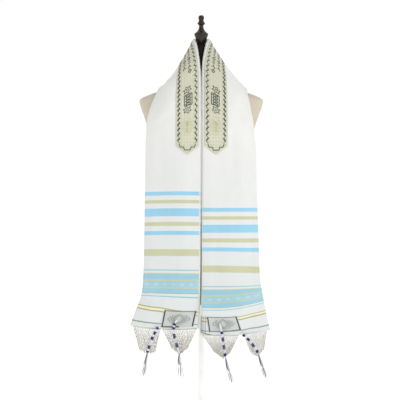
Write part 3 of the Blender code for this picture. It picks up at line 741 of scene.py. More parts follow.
@dataclass(frozen=True)
class TurnedWood(Finish):
    """Hardwood turned on a lathe, stained nearly black and lacquered: brown grain shows in the highlights."""

    grain: str = "#5d3a28"
    ring: float = 3.0 * MM
    gloss: float = 0.5

    def dress(self, tree: bpy.types.NodeTree, shader: bpy.types.Node) -> None:
        """Add the grain, running up the piece, and the lacquer.

        Args:
            tree: The material's node tree.
            shader: Its Principled shader.
        """
        place = add_node(tree, "ShaderNodeTexCoord", {}).outputs["Object"]
        drawn = add_node(tree, "ShaderNodeMapping", {"Vector": place, "Scale": (1.0, 1.0, 0.12)}).outputs[0]
        rings = add_node(
            tree,
            "ShaderNodeTexWave",
            {"Vector": drawn, "Scale": wave_scale(self.ring), "Distortion": 5.0, "Detail": 3.0},
            bands_direction="X",
        ).outputs[1]
        pores = add_node(
            tree, "ShaderNodeTexNoise", {"Vector": drawn, "Scale": 900.0, "Detail": 2.0}
        ).outputs[0]
        mixed = add_node(tree, "ShaderNodeMath", {0: rings, 1: pores}, operation="MULTIPLY").outputs[0]
        share = add_node(tree, "ShaderNodeMapRange", {0: mixed, 1: 0.1, 2: 0.6, 3: 0.0, 4: 0.55}).outputs[0]
        colour = add_node(
            tree, "ShaderNodeMix", {0: share, 6: linear(self.colour), 7: linear(self.grain)}, data_type="RGBA"
        ).outputs[2]
        tree.links.new(colour, shader.inputs["Base Color"])
        shader.inputs["Specular IOR Level"].default_value = self.gloss
        bump = add_node(tree, "ShaderNodeBump", {"Strength": 0.15, "Distance": 0.2 * MM, "Height": pores})
        tree.links.new(bump.outputs[0], shader.inputs["Normal"])


@dataclass(frozen=True)
class PaintedMetal(Finish):
    """Steel with a sprayed white enamel: a satin skin with a faint orange peel, a faint yellowed mottle and a
    painted glow.
    """

    peel: float = 2.5 * MM
    yellowed: str = "#e6e5df"
    glow: float = 0.08

    def dress(self, tree: bpy.types.NodeTree, shader: bpy.types.Node) -> None:
        """Add the orange peel, a slight yellowing and a painted glow.

        Args:
            tree: The material's node tree.
            shader: Its Principled shader.
        """
        place = add_node(tree, "ShaderNodeTexCoord", {}).outputs["Object"]
        peel = add_node(tree, "ShaderNodeTexNoise", {"Vector": place, "Scale": 1.0 / self.peel}).outputs[0]
        cloud = add_node(
            tree, "ShaderNodeTexNoise", {"Vector": place, "Scale": 18.0, "Detail": 3.0}
        ).outputs[0]
        shade = add_node(tree, "ShaderNodeMapRange", {0: cloud, 1: 0.35, 2: 0.7, 3: 0.0, 4: 0.6}).outputs[0]
        colour = add_node(
            tree,
            "ShaderNodeMix",
            {0: shade, 6: linear(self.colour), 7: linear(self.yellowed)},
            data_type="RGBA",
        ).outputs[2]
        tree.links.new(colour, shader.inputs["Base Color"])
        bump = add_node(tree, "ShaderNodeBump", {"Strength": 0.12, "Distance": 0.3 * MM, "Height": peel})
        tree.links.new(bump.outputs[0], shader.inputs["Normal"])
        # Painted light: the enamel glows faintly, though it is no lamp, so that the stand is nearly lost in
        # the white background
        shader.inputs["Emission Color"].default_value = WHITE
        shader.inputs["Emission Strength"].default_value = self.glow


@dataclass(frozen=True)
class PaperFloor(Finish):
    """Matt white background paper."""

    glow: float = 0.4

    def dress(self, tree: bpy.types.NodeTree, shader: bpy.types.Node) -> None:
        """Leave the paper matt, with the faintest mottle.

        Args:
            tree: The material's node tree.
            shader: Its Principled shader.
        """
        place = add_node(tree, "ShaderNodeTexCoord", {}).outputs["Object"]
        mottle = add_node(tree, "ShaderNodeTexNoise", {"Vector": place, "Scale": 3.0}).outputs[0]
        shade = add_node(tree, "ShaderNodeMapRange", {0: mottle, 1: 0.0, 2: 1.0, 3: 0.985, 4: 1.0}).outputs[0]
        colour = add_node(
            tree, "ShaderNodeVectorMath", {0: linear(self.colour)[:3], 3: shade}, operation="SCALE"
        ).outputs[0]
        tree.links.new(colour, shader.inputs["Base Color"])
        shader.inputs["Specular IOR Level"].default_value = 0.1
        # The paper is lit from behind as well, so that it runs into the white background
        shader.inputs["Emission Color"].default_value = WHITE
        shader.inputs["Emission Strength"].default_value = self.glow


WOVEN = WovenWool("fine_wool_shawl_cloth", "#e3e3e0", 0.62)
BROCADE = Brocade("rayon_brocade", "#c9c8af", 0.52)
SILVER = Brocade("silver_grey_lame", "#bcc0bd", 0.5, 5 * MM, "#dde0db")
DARK_THREAD = Yarn("dark_green_embroidery_thread", "#3d4a41", 0.6)
GOLD_THREAD = Yarn("pale_gold_embroidery_thread", "#c9c48f", 0.45)
PALE_THREAD = Yarn("pale_green_embroidery_thread", "#d3d6c3", 0.6)
BLUE_THREAD = Yarn("grey_blue_embroidery_thread", "#5d6c84", 0.5)
BLACK_TAPE = Yarn("black_ribbon", "#1d2021", 0.5, 1.0 * MM)
WHITE_THREAD = Yarn("white_sewing_thread", "#eceae2", 0.6)
# Painted shade: dark grey thread laid where folded strips of the cloth cast shadow lines
SHADE_LINE_THREAD = Yarn("grey_painted_shade_thread", "#565851", 0.7)
FRINGE_YARN = Yarn("ecru_fringe_yarn", "#cfcdc1", 0.8, uneven=0.2)
WHITE_CORD = Yarn("white_tassel_cord", "#e6e6ea", 0.7)
VIOLET_CORD = Yarn("navy_violet_tassel_cord", "#2a2270", 0.7, 1.2 * MM, 0.25)
BLACK_CORD = Yarn("navy_black_tassel_cord", "#20202c", 0.7)
LINEN = Linen("unbleached_linen", "#d0c8b7", 0.85)
SEAM_THREAD = Yarn("linen_seam_thread", "#b0a48c", 0.8)
WOOD = TurnedWood("lacquered_dark_hardwood", "#0c0908", 0.16, "#4a2e20", gloss=0.4)
# Painted shade: a darker, matter copy of the finial's wood for the neck cap, standing in for the shade it
# lies in under the cloth
SHADE_DARKENED_WOOD = TurnedWood("dark_hardwood_painted_shade", "#0e0a09", 0.6, "#3a241a", gloss=0.2)
PAINT = PaintedMetal("white_enamelled_steel", "#fbfbfa", 0.4)
FLOOR = PaperFloor("white_background_paper", "#f6f6f6", 0.9)


class Thread(NamedTuple):
    """A round thread: its points, its radius along them, and the number of its finish."""

    points: np.ndarray
    radius: float | np.ndarray
    finish: int = 0


def add_piece(
    name: str, bm: bmesh.types.BMesh, finishes: Sequence[Finish], sharp: float = 40.0
) -> bpy.types.Object:
    """Turn a bmesh into a smooth-shaded piece that rides on the stand.

    Args:
        name: The piece's name.
        bm: Its shape, which is freed.
        finishes: Its finishes, in the order of its face numbers.
        sharp: The angle in degrees past which an edge stays sharp.

    Returns:
        The new object.
    """
    mesh = bpy.data.meshes.new(name)
    bm.to_mesh(mesh)
    bm.free()
    mesh.shade_smooth()
    mesh.set_sharp_from_angle(angle=math.radians(sharp))
    obj = bpy.data.objects.new(name, mesh)
    bpy.context.scene.collection.objects.link(obj)
    for finish in finishes:
        known = bpy.data.materials.get(finish.name)
        obj.data.materials.append(known or finish.material())
    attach(obj, "root")
    LOG.info("%s: %d faces", name, len(mesh.polygons))
    return obj


def add_wall(obj: bpy.types.Object, thickness: float) -> None:
    """Give an open surface its thickness, half to each side.

    Args:
        obj: The piece.
        thickness: In metres.
    """
    wall = obj.modifiers.new("wall", "SOLIDIFY")
    wall.thickness = thickness
    wall.offset = 0.0
    wall.use_even_offset = False


def lay_threads(
    name: str, threads: Sequence[Thread], finishes: Sequence[Finish], sides: int = 0
) -> bpy.types.Object:
    """Lay round threads along their points, as one piece.

    Args:
        name: The piece's name.
        threads: The threads.
        finishes: Their finishes.
        sides: 0 for four-sided threads, 1 for six-sided ones.

    Returns:
        The new object.
    """
    curve = bpy.data.curves.new(name + "_lines", "CURVE")
    curve.dimensions = "3D"
    curve.bevel_depth = 1.0
    curve.bevel_resolution = sides
    curve.use_fill_caps = True
    for _ in finishes:
        curve.materials.append(None)
    for thread in threads:
        count = len(thread.points)
        spline = curve.splines.new("POLY")
        spline.points.add(count - 1)
        spline.points.foreach_set("co", np.column_stack((thread.points, np.ones(count))).ravel())
        radii = np.broadcast_to(np.asarray(thread.radius, float), (count,)).copy()
        spline.points.foreach_set("radius", radii)
        spline.material_index = thread.finish
    line = bpy.data.objects.new(name + "_lines", curve)
    bpy.context.scene.collection.objects.link(line)
    ready = line.evaluated_get(bpy.context.evaluated_depsgraph_get())
    mesh = bpy.data.meshes.new_from_object(ready)
    bm = bmesh.new()
    bm.from_mesh(mesh)
    bpy.data.objects.remove(line)
    bpy.data.curves.remove(curve)
    bpy.data.meshes.remove(mesh)
    bmesh.ops.remove_doubles(bm, verts=bm.verts, dist=0.001 * MM)
    return add_piece(name, bm, finishes, 80.0)


def grid_through(points: np.ndarray, places: np.ndarray | None = None) -> bmesh.types.BMesh:
    """Lay a bmesh grid through rows of points.

    Args:
        points: Rows by columns by 3, in metres.
        places: Rows by columns by 2, the same points on the flat cloth, for its UV map.

    Returns:
        The grid. Its faces point to the side from which the rows rise and the columns run to the left.
    """
    rows, columns = points.shape[:2]
    bm = bmesh.new()
    bmesh.ops.create_grid(bm, x_segments=columns - 1, y_segments=rows - 1, size=1.0)
    spots = {}
    for vert in bm.verts:
        i = round((vert.co.y + 1.0) / 2.0 * (rows - 1))
        j = round((vert.co.x + 1.0) / 2.0 * (columns - 1))
        spots[vert] = (i, j)
        vert.co = points[i, j]
    if places is not None:
        layer = bm.loops.layers.uv.new("cloth")
        for face in bm.faces:
            for loop in face.loops:
                loop[layer].uv = places[spots[loop.vert]]
    return bm


def smooth_line(points: Sequence[Sequence[float]], shares: np.ndarray) -> np.ndarray:
    """Read a smooth curve through a few points.

    Args:
        points: The points that it passes through.
        shares: Where to read it, from 0 to 1.

    Returns:
        One point for each share.
    """
    marks = np.asarray(points, float)
    spans = len(marks) - 1
    i = np.minimum((shares * spans).astype(int), spans - 1)
    f = (shares * spans - i)[:, None]
    before, after = marks[np.maximum(i - 1, 0)], marks[np.minimum(i + 2, spans)]
    a, b = marks[i], marks[i + 1]
    start = a * (2 * f**3 - 3 * f**2 + 1) + (b - before) / 2 * (f**3 - 2 * f**2 + f)
    return start + b * (3 * f**2 - 2 * f**3) + (after - a) / 2 * (f**3 - f**2)


def unit(vectors: np.ndarray) -> np.ndarray:
    """Return the vectors at length 1."""
    return vectors / np.maximum(np.linalg.norm(vectors, axis=-1, keepdims=True), 1e-12)


class Drape:
    """The smooth surface of the folded shawl's middle layer, kept clear of the form below it."""

    def __init__(self, forms: Sequence[tuple[BVHTree, float]]) -> None:
        """Work out the curves along the panels.

        Args:
            forms: The search tree of each form under the cloth, with its clearance.
        """
        self.forms = forms
        self.points = np.array([(s.inner, s.middle, s.outer) for s in SECTIONS], float) * MM
        self.spans = np.linalg.norm(np.diff(self.points[:, 1], axis=0), axis=1)
        self.along = np.concatenate(([0.0], np.cumsum(self.spans)))
        self.rows = np.arange(LAST_ROW + 1)
        slopes = np.diff(self.points, axis=0) / self.spans[:, None, None]
        before, after = self.spans[:-1, None, None], self.spans[1:, None, None]
        inner = (slopes[:-1] * after + slopes[1:] * before) / (before + after)
        self.tangents = np.concatenate((slopes[:1], inner, slopes[-1:]))
        self.width = float(np.linalg.norm(self.points[:, 2] - self.points[:, 0], axis=1).mean())
        self.woven = self._woven_distances()

    def _woven_distances(self) -> np.ndarray:
        """Return each row's distance from the nearer hem on the flat cloth, in metres."""
        given = [s.woven for s in SECTIONS]
        left = next(i for i in self.rows if given[i + 1] is None)
        right = next(i for i in self.rows[::-1] if given[i - 1] is None)
        woven = np.zeros(LAST_ROW + 1)
        for i in self.rows:
            if given[i] is not None:
                woven[i] = given[i] * MM
            elif i <= BACK_ROW:
                woven[i] = given[left] * MM + self.along[i] - self.along[left]
            else:
                woven[i] = given[right] * MM + self.along[right] - self.along[i]
        return woven

    def fine_rows(self, first: float, last: float, step: float) -> np.ndarray:
        """Return evenly spaced rows between two rows, about a step apart on the cloth."""
        ends = np.interp((first, last), self.rows, self.along)
        count = math.ceil(abs(ends[1] - ends[0]) / step) + 1
        return np.interp(np.linspace(ends[0], ends[1], count), self.along, self.rows)

    def plain(self, u: np.ndarray, v: np.ndarray) -> np.ndarray:
        """Return the surface's points before folds.

        Args:
            u: Rows along the shawl.
            v: Places across it.

        Returns:
            One point for each pair.
        """
        i = np.minimum(u.astype(int), LAST_ROW - 1)
        t = (u - i)[:, None, None]
        h = self.spans[i][:, None, None]
        section = self.points[i] * (2 * t**3 - 3 * t**2 + 1) + self.tangents[i] * h * (t**3 - 2 * t**2 + t)
        section += self.points[i + 1] * (3 * t**2 - 2 * t**3) + self.tangents[i + 1] * h * (t**3 - t**2)
        m = MIDDLE_V
        weights = ((v - m) * (v - 1) / m, v * (v - 1) / (m * (m - 1)), v * (v - m) / (1 - m))
        return np.einsum("kp,kpc->kc", np.stack(weights, axis=1), section)

    def directions(self, u: np.ndarray, v: np.ndarray) -> tuple[np.ndarray, np.ndarray, np.ndarray]:
        """Return the directions along and across the cloth and its outward normal, one for each pair."""
        u0, u1 = np.maximum(0.0, u - 0.05), np.minimum(LAST_ROW, u + 0.05)
        v0, v1 = np.maximum(0.0, v - 0.01), np.minimum(1.0, v + 0.01)
        along = unit(self.plain(u1, v) - self.plain(u0, v))
        across = unit(self.plain(u, v1) - self.plain(u, v0))
        return along, across, unit(np.cross(along, across))

    def fold_height(self, u: np.ndarray, v: np.ndarray) -> np.ndarray:
        """Return how far the folds and creases lift the cloth, one value for each pair."""
        here = np.stack((np.interp(u, self.rows, self.along), v * self.width), axis=1)
        height = np.zeros(len(u))
        for fold in FOLDS + CREASES:
            ends = np.array((fold.start, fold.end))
            marks = np.stack((np.interp(ends[:, 0], self.rows, self.along), ends[:, 1] * self.width), axis=1)
            run = marks[1] - marks[0]
            t = np.clip((here - marks[0]) @ run / (run @ run), 0.0, 1.0)
            distance = np.linalg.norm(here - marks[0] - t[:, None] * run, axis=1) / (fold.width * MM)
            height += fold.height * MM * np.exp(-(distance**2))
        return height

    def clear_of_form(self, place: np.ndarray) -> Vector:
        """Return a point moved out, softly, until it stands clear of the form."""
        point = Vector(place)
        for tree, clearance in self.forms:
            spot, normal, _, _ = tree.find_nearest(point)
            away = point - spot
            distance = away.length
            side = 1.0 if away.dot(normal) > -0.2 * distance else -1.0
            out = away.normalized() * side if distance > 1e-6 else normal
            over = distance * side - clearance
            point = point + out * 0.5 * (math.sqrt(over * over + SOFTNESS * SOFTNESS) - over)
        return point

    def lifted(self, u: Any, v: Any, lift: Any = 0.0, beyond: Any = 0.0) -> np.ndarray:
        """Return points off the folded surface.

        Args:
            u: Rows along the shawl.
            v: Places across it.
            lift: How far out along the normal.
            beyond: How far on sideways.

        Returns:
            The points, in the shape of the values given together.
        """
        values = np.broadcast_arrays(*(np.asarray(x, float) for x in (u, v, lift, beyond)))
        shape = values[0].shape
        u, v, lift, beyond = (x.ravel() for x in values)
        _, across, normal = self.directions(u, v)
        folded = self.plain(u, v) + normal * self.fold_height(u, v)[:, None]
        clear = np.array([self.clear_of_form(p) for p in folded])
        points = clear + normal * lift[:, None] + across * beyond[:, None]
        return points.reshape(*shape, 3)

    def front_lift(self, u: Any, v: Any) -> np.ndarray:
        """Return the height of the front layer over the middle one."""
        opening = np.interp(u, self.rows, [s.fold_open * MM for s in SECTIONS])
        return LAYER_STEP + opening * np.asarray(v, float) ** 4

    def on_front(self, u: Any, v: Any, lift: Any = 0.0) -> np.ndarray:
        """Return points off the front layer's outer face."""
        return self.lifted(u, v, self.front_lift(u, v) + WALL / 2 + lift)


def half_turn(count: int) -> list[tuple[float, float]]:
    """Return the (sideways, upwards) places of points between the ends of a half circle of radius 1."""
    turns = [math.pi * (k + 1) / (count + 1) for k in range(count)]
    return [(math.sin(a), math.cos(a)) for a in turns]


@dataclass
class Shawl:
    """The shawl itself: one length of cloth in three layers, with its hems, selvedge and stitched edges."""

    drape: Drape
    step: float = 5.0 * MM
    columns: int = 31
    fold_points: int = 7
    flat: tuple[float, float] = (0.50, 1.83)
    # How far the under-layers show past the selvedge, as (row, mm)
    peeks: tuple[tuple[float, float], ...] = (
        (3, 0),
        (5, 1.4),
        (9, 1.4),
        (10, 0),
        (17, 0),
        (19, 2.6),
        (23, 2.6),
        (25, 0),
    )
    # How much of the full depth the lowest stripes sink near each hem, as (row, share)
    sinks: tuple[tuple[float, float], ...] = (
        (0.0, 0),
        (0.7, 1),
        (1.2, 1),
        (2.0, 0),
        (26.0, 0),
        (26.8, 0.5),
        (27.3, 0.5),
        (28.0, 0),
    )
    sink_depth: float = 9 * MM
    turned_under: float = 3 * MM
    crease_seam: float = 0.955
    selvedge_rib: float = 0.006
    stitch: float = 3.4 * MM
    stitch_gap: float = 1.4 * MM

    def build(self) -> bpy.types.Object:
        """Drape the three layers as one surface with its folds.

        Returns:
            The cloth.
        """
        rows = self.drape.fine_rows(0, LAST_ROW, self.step)
        u = rows[:, None]
        columns = np.linspace(0.0, 1.0, self.columns)[None, :]
        outer = self.drape.front_lift(rows, 1.0)[:, None] / 2
        inner = LAYER_STEP / 2
        reach = np.interp(rows, self.drape.rows, [s.back_reach for s in SECTIONS])[:, None]
        beyond = np.maximum(0.0, columns - MIDDLE_V) / (1.0 - MIDDLE_V)
        back = np.minimum(columns, MIDDLE_V) + beyond * (reach - MIDDLE_V)
        side, up = np.array(half_turn(self.fold_points)).T[:, None, :]
        side2, up2 = np.array(half_turn(self.fold_points - 2)).T[:, None, :]
        # The two under-layers show a little past the front one's selvedge, in the gap between the panels
        peek = np.interp(rows, *np.array(self.peeks).T)[:, None] * MM
        near = np.maximum(0.0, 1.0 - columns / 0.25)
        layers = (
            (columns, self.drape.front_lift(u, columns), 0.0),
            (1.0, outer * (1 + up), outer * side),
            (columns[:, ::-1], 0.0, -peek * near[:, ::-1]),
            (0.0, inner * (up2 - 1), -inner * side2 - peek),
            (back, -LAYER_STEP, -peek * near),
        )
        points, flat = [], []
        width = self.flat[0] / 3
        starts = (0.0, width, width, 2 * width, 2 * width)
        for (v, lift, sideways), start in zip(layers, starts):
            made = self.drape.lifted(u, v, lift, sideways)
            points.append(made)
            over = np.linspace(0.0, 1.0, made.shape[1]) * (width if made.shape[1] == self.columns else 0.0)
            flat.append(np.broadcast_to(start + over, made.shape[:2]))
        across = np.concatenate(flat, axis=1)
        # The right panel's selvedge is turned under, so its stripes run on to the edge
        across = across + np.where(rows > BACK_ROW, self.turned_under, 0.0)[:, None]
        # The lowest stripes sink a little towards the free edge, under the corner patches
        near_hem = np.interp(rows, *np.array(self.sinks).T)
        sink = near_hem[:, None] * np.clip(1.25 - across / width / 0.5, 0.0, 1.0) * self.sink_depth
        woven = np.interp(rows, self.drape.rows, self.drape.woven)[:, None] + sink
        bm = grid_through(np.concatenate(points, axis=1), np.stack((across, woven), axis=2))
        bmesh.ops.reverse_faces(bm, faces=bm.faces)
        cloth = add_piece("shawl_drape", bm, (WOVEN,), 70.0)
        add_wall(cloth, WALL)
        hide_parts("shawl_cloth")
        return cloth

    def stitch_edges(self) -> bpy.types.Object:
        """Sew the hems, the outer creases and the selvedge's rib, and lay dark threads as painted shade lines
        at the right panel's lower inner corner.

        Returns:
            The threads of all of them.
        """
        threads = []
        for first, last in ((0.05, BACK_ROW), (LAST_ROW - 0.05, BACK_ROW)):
            rows = self.drape.fine_rows(first, last, self.stitch + self.stitch_gap)
            reach = math.copysign(self.stitch, last - first)
            ahead = np.interp(
                np.interp(rows, self.drape.rows, self.drape.along) + reach,
                self.drape.along,
                self.drape.rows,
            )
            starts = self.drape.on_front(rows, self.crease_seam, 0.05 * MM)
            ends = self.drape.on_front(ahead, self.crease_seam, 0.05 * MM)
            threads += [Thread(np.array(pair), 0.28 * MM) for pair in zip(starts, ends)]
            rib = self.drape.fine_rows(first, last, 8 * MM)
            threads.append(Thread(self.drape.on_front(rib, self.selvedge_rib, -0.2 * MM), 0.75 * MM))
        for row, inward in ((0, 1), (LAST_ROW, -1)):
            across = np.linspace(0.01, 0.99, 60)
            for depth in (0.06, 0.13):
                u = row + inward * depth
                starts = self.drape.on_front(u, across, 0.05 * MM)
                ends = self.drape.on_front(u, across + 0.009, 0.05 * MM)
                threads += [Thread(np.array(pair), 0.25 * MM) for pair in zip(starts, ends)]
        # Painted shade: three dark grey threads run down the right panel's lower inner corner and turn on
        # along the hem, standing in for the shadow lines between its folded strips
        for k, v in enumerate((0.006, 0.036, 0.068)):
            down = np.linspace(26.8, LAST_ROW - 0.16 + 0.03 * k, 14)
            turn = np.linspace(0.0, 1.0, 9)[1:]
            rows = np.concatenate((down, down[-1] + 0.08 * np.sin(turn * TURN / 4)))
            places = np.concatenate((np.full(14, v), v + 0.09 * (1 - np.cos(turn * TURN / 4))))
            threads.append(Thread(self.drape.on_front(rows, places, 0.3 * MM), 0.75 * MM, 1))
        return lay_threads("shawl_stitches", threads, (WHITE_THREAD, SHADE_LINE_THREAD))


class Stroke(NamedTuple):
    """A line of embroidery on a sewn-on piece: its points there in mm, width, finish and relief."""

    points: tuple[tuple[float, float], ...]
    width: float
    finish: int
    relief: float = 0.45


def lay_strokes(
    name: str,
    strokes: Sequence[Stroke],
    surface: Callable[[np.ndarray], tuple[np.ndarray, np.ndarray]],
    finishes: Sequence[Finish],
    step: float = 2.5,
) -> bpy.types.Object:
    """Lay lines of raised satin stitch on a surface, as one piece.

    Args:
        name: The piece's name.
        strokes: The lines.
        surface: Gives the points on the piece and the normals there, from places in mm.
        finishes: Their finishes.
        step: How finely a line follows the surface, in mm.

    Returns:
        The new object.
    """
    bm = bmesh.new()
    for stroke in strokes:
        marks = np.array(stroke.points, float)
        line = [marks[:1]]
        for a, b in zip(marks, marks[1:]):
            count = max(1, math.ceil(float(np.linalg.norm(b - a)) / step))
            line.append(a + (b - a) * np.linspace(0, 1, count + 1)[1:, None])
        points, normals = surface(np.concatenate(line))
        run = np.gradient(points, axis=0)
        side = unit(np.cross(unit(run), normals)) * stroke.width * MM / 2
        crown = points + normals * stroke.relief * MM
        rows = (points - side, crown - side * 0.5, crown + side * 0.5, points + side)
        table = np.stack(rows, axis=1)
        count = len(table) - 1
        made = bmesh.ops.create_grid(bm, x_segments=3, y_segments=count, size=1.0)["verts"]
        for vert in made:
            i, j = round((vert.co.y + 1.0) / 2.0 * count), round((vert.co.x + 1.0) / 2.0 * 3)
            vert.co = table[i, j]
        for face in {face for vert in made for face in vert.link_faces}:
            face.material_index = stroke.finish
    return add_piece(name, bm, finishes, 80.0)


@dataclass
class Neckband:
    """The embroidered band round the neck, with a pointed end on each panel."""

    drape: Drape
    inner: float = 0.035
    outer: float = 0.45
    first: float = 6.0
    last: float = LAST_ROW - 6.0
    point_rows: float = 0.22
    corner: float = 23.5
    length: float = 436.0
    point_lift: float = 1.2 * MM
    tip_share: float = 0.06
    half_width: float = 35.0
    flat: tuple[float, float] = (0.074, 0.84)

    def spread(self, u: np.ndarray) -> np.ndarray:
        """Return how much of its width the band has at each row: less towards a point."""
        past = np.maximum(self.first - u, u - self.last) / self.point_rows
        return 1.0 - np.clip(past, 0.0, 1.0) * (1.0 - self.tip_share)

    def _across(self, share: Any) -> Any:
        """Return the place across the shawl, share running from -1 at the band's inner edge to 1."""
        return (self.inner + self.outer) / 2 + share * (self.outer - self.inner) / 2

    def place(self, u: np.ndarray, share: np.ndarray, lift: Any = 0.0) -> np.ndarray:
        """Return points off the middle of the band's thickness."""
        v = self._across(share)
        raised = self.point_lift * (1.0 - self.spread(u))
        return self.drape.lifted(u, v, self.drape.front_lift(u, v) + BAND_LIFT + raised + lift)

    def build(self) -> bpy.types.Object:
        """Cut the band and lay it round the neck.

        Returns:
            The band.
        """
        ends = (self.first - self.point_rows, self.last + self.point_rows)
        middle = self.drape.fine_rows(self.first, self.last, 5 * MM)
        left = np.linspace(ends[0], self.first, 7)[:-1]
        right = np.linspace(self.last, ends[1], 7)[1:]
        rows = np.concatenate((left, middle, right))
        shares = np.linspace(-1.0, 1.0, 33)[None, :] * self.spread(rows)[:, None]
        points = self.place(rows[:, None] + shares * 0.0, shares)
        along = np.interp(rows, self.drape.rows, self.drape.along)
        lengths = np.broadcast_to(along[:, None], shares.shape)
        flat = np.stack((shares * self.half_width * MM, lengths), axis=2)
        bm = grid_through(points, flat)
        bmesh.ops.reverse_faces(bm, faces=bm.faces)
        band = add_piece("neckband_brocade", bm, (BROCADE,), 60.0)
        add_wall(band, BAND_WALL)
        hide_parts("neckband")
        return band

    def surface(self, right: bool) -> Callable[[np.ndarray], tuple[np.ndarray, np.ndarray]]:
        """Return the map from mm on one half of the band to its face.

        Args:
            right: Whether this is the right panel's half.

        Returns:
            A function from (mm across from the middle, mm up from the point) to points and normals.
        """
        tip = self.last + self.point_rows if right else self.first - self.point_rows
        rows = self.drape.fine_rows(tip, BACK_ROW, 3 * MM)
        centre = self.drape.plain(rows, np.full(len(rows), self._across(0.0)))
        steps = np.linalg.norm(np.diff(centre, axis=0), axis=1)
        lengths = np.concatenate(([0.0], np.cumsum(steps))) / MM

        def read(places: np.ndarray) -> tuple[np.ndarray, np.ndarray]:
            """Return the points and normals at places on this half."""
            u = np.interp(places[:, 1], lengths, rows)
            share = places[:, 0] / self.half_width
            normals = self.drape.directions(u, self._across(share))[2]
            return self.place(u, share, BAND_WALL / 2 + 0.25 * MM), normals

        return read

    def embroider(self) -> list[bpy.types.Object]:
        """Embroider both halves of the band.

        Returns:
            The embroidery of each half.
        """
        made = []
        for right in (False, True):
            side = "right" if right else "left"
            strokes = self._borders() + self._stars() + self._lattice() + self._ornaments() + self._sprig()
            finishes = (DARK_THREAD, GOLD_THREAD, PALE_THREAD)
            made.append(lay_strokes(f"band_embroidery_{side}", strokes, self.surface(right), finishes))
            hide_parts("neckband")
        return made

    def _borders(self) -> list[Stroke]:
        """Return the zigzag down both sides and round the point, and the pale cord outside it."""
        wave, swing, inset = 7.8, 3.4, 8.8
        edge = self.half_width - inset
        turn = self._turn(inset)
        strokes = []
        for side in (-1, 1):
            count = int((self.length - turn) / wave)
            zigzag = [
                (side * (edge + (swing if k % 2 else -swing)), turn + 3 + k * wave) for k in range(count)
            ]
            # The stitches are heavy one way and light the other
            for k, pair in enumerate(zip(zigzag, zigzag[1:])):
                strokes.append(Stroke(pair, 4.2 if k % 2 else 1.5, 0))
            # It runs on down the slanting edge to the tip
            low = []
            for k in range(5):
                t = k / 4
                off = 2.8 if k % 2 else -2.8
                x = edge * (1 - t) + off * 0.56
                y = turn - 1 - t * (turn - self._turn(inset, 0.0)) - off * 0.83
                low.append((side * max(0.0, x), y))
            strokes.append(Stroke(tuple(low), 2.6, 0))
            for depth, width in ((2.2, 1.5), (inset + 5.4, 0.8)):
                x, top = side * (self.half_width - depth), self._turn(depth)
                line = [(x, y) for y in np.linspace(self.length, top, 60)]
                line.append((side * 0.6, self._turn(depth, 0.4)))
                strokes.append(Stroke(tuple(line), width, 2))
            for k in range(int((self.length - self.corner) / 9)):
                x, y = side * (self.half_width - 4.6), self.corner + 4 + k * 9
                strokes.append(Stroke(((x, y), (x, y + 4)), 0.9, 2))
        return strokes

    def _turn(self, depth: float, across: float | None = None) -> float:
        """Return how far above the tip a line inside the edge lies, at its corner or at a place across."""
        slope = math.atan2(self.corner, self.half_width)
        x = self.half_width - depth if across is None else across
        return depth / math.cos(slope) + x * math.tan(slope)

    def _stars(self) -> list[Stroke]:
        """Return the two six-pointed stars."""
        strokes = []
        for height in (128.0, 187.0):
            for reach, notch, width in ((13.5, 7.2, 1.7), (4.2, 3.4, 1.3)):
                turns = [(k + 0.5) * TURN / 12 for k in range(-1, 12)]
                radii = [reach if k % 2 else notch for k in range(13)]
                outline = tuple(
                    (r * math.cos(a), height + r * 0.86 * math.sin(a)) for r, a in zip(radii, turns)
                )
                strokes += [Stroke(pair, width, 0) for pair in zip(outline, outline[1:])]
        return strokes

    def _lattice(self) -> list[Stroke]:
        """Return the framed lozenge lattice between the stars."""
        low, high, half, middle = 141.0, 173.0, 11.5, -2.5
        corners = ((middle - half, low), (middle + half, low), (middle + half, high), (middle - half, high))
        strokes = [Stroke(pair, 2.4, 0) for pair in zip(corners, corners[1:] + corners[:1])]
        step = (high - low) / 4
        for k in range(4):
            y = low + k * step
            for side in (-1, 1):
                strokes.append(Stroke(((middle, y), (middle + side * 8.5, y + step / 2)), 1.7, 0))
                strokes.append(Stroke(((middle + side * 8.5, y + step / 2), (middle, y + step)), 1.7, 0))
        strokes += [Stroke(((middle + x, low), (middle + x, high)), 1.5, 0) for x in (-5.5, 0.0, 5.5)]
        return strokes

    def _ornaments(self) -> list[Stroke]:
        """Return the two rows of small ornaments that run on round the neck."""
        strokes = []
        for row, (x, start) in enumerate(((-9.0, 236.0), (8.0, 258.0))):
            for k in range(int((self.length - start) / 15)):
                y = start + k * 15
                kind = (k + row) % 3
                if kind == 0:
                    lozenge = ((x + 5, y + 5.5), (x, y), (x - 5, y + 5.5), (x, y + 11), (x + 5, y + 5.5))
                    lines = [lozenge[:3], lozenge[2:]]
                elif kind == 1:
                    top = (x, y + 8)
                    lines = [((x - 5, y + 1), top), (top, (x + 5, y + 1)), (top, (x, y + 11.5))]
                else:
                    lines = [((x - 4.5, y + 1.5), (x + 4.5, y + 4)), ((x - 4.5, y + 8), (x + 4.5, y + 10.5))]
                strokes += [Stroke(line, 2.5, 0) for line in lines]
        return strokes

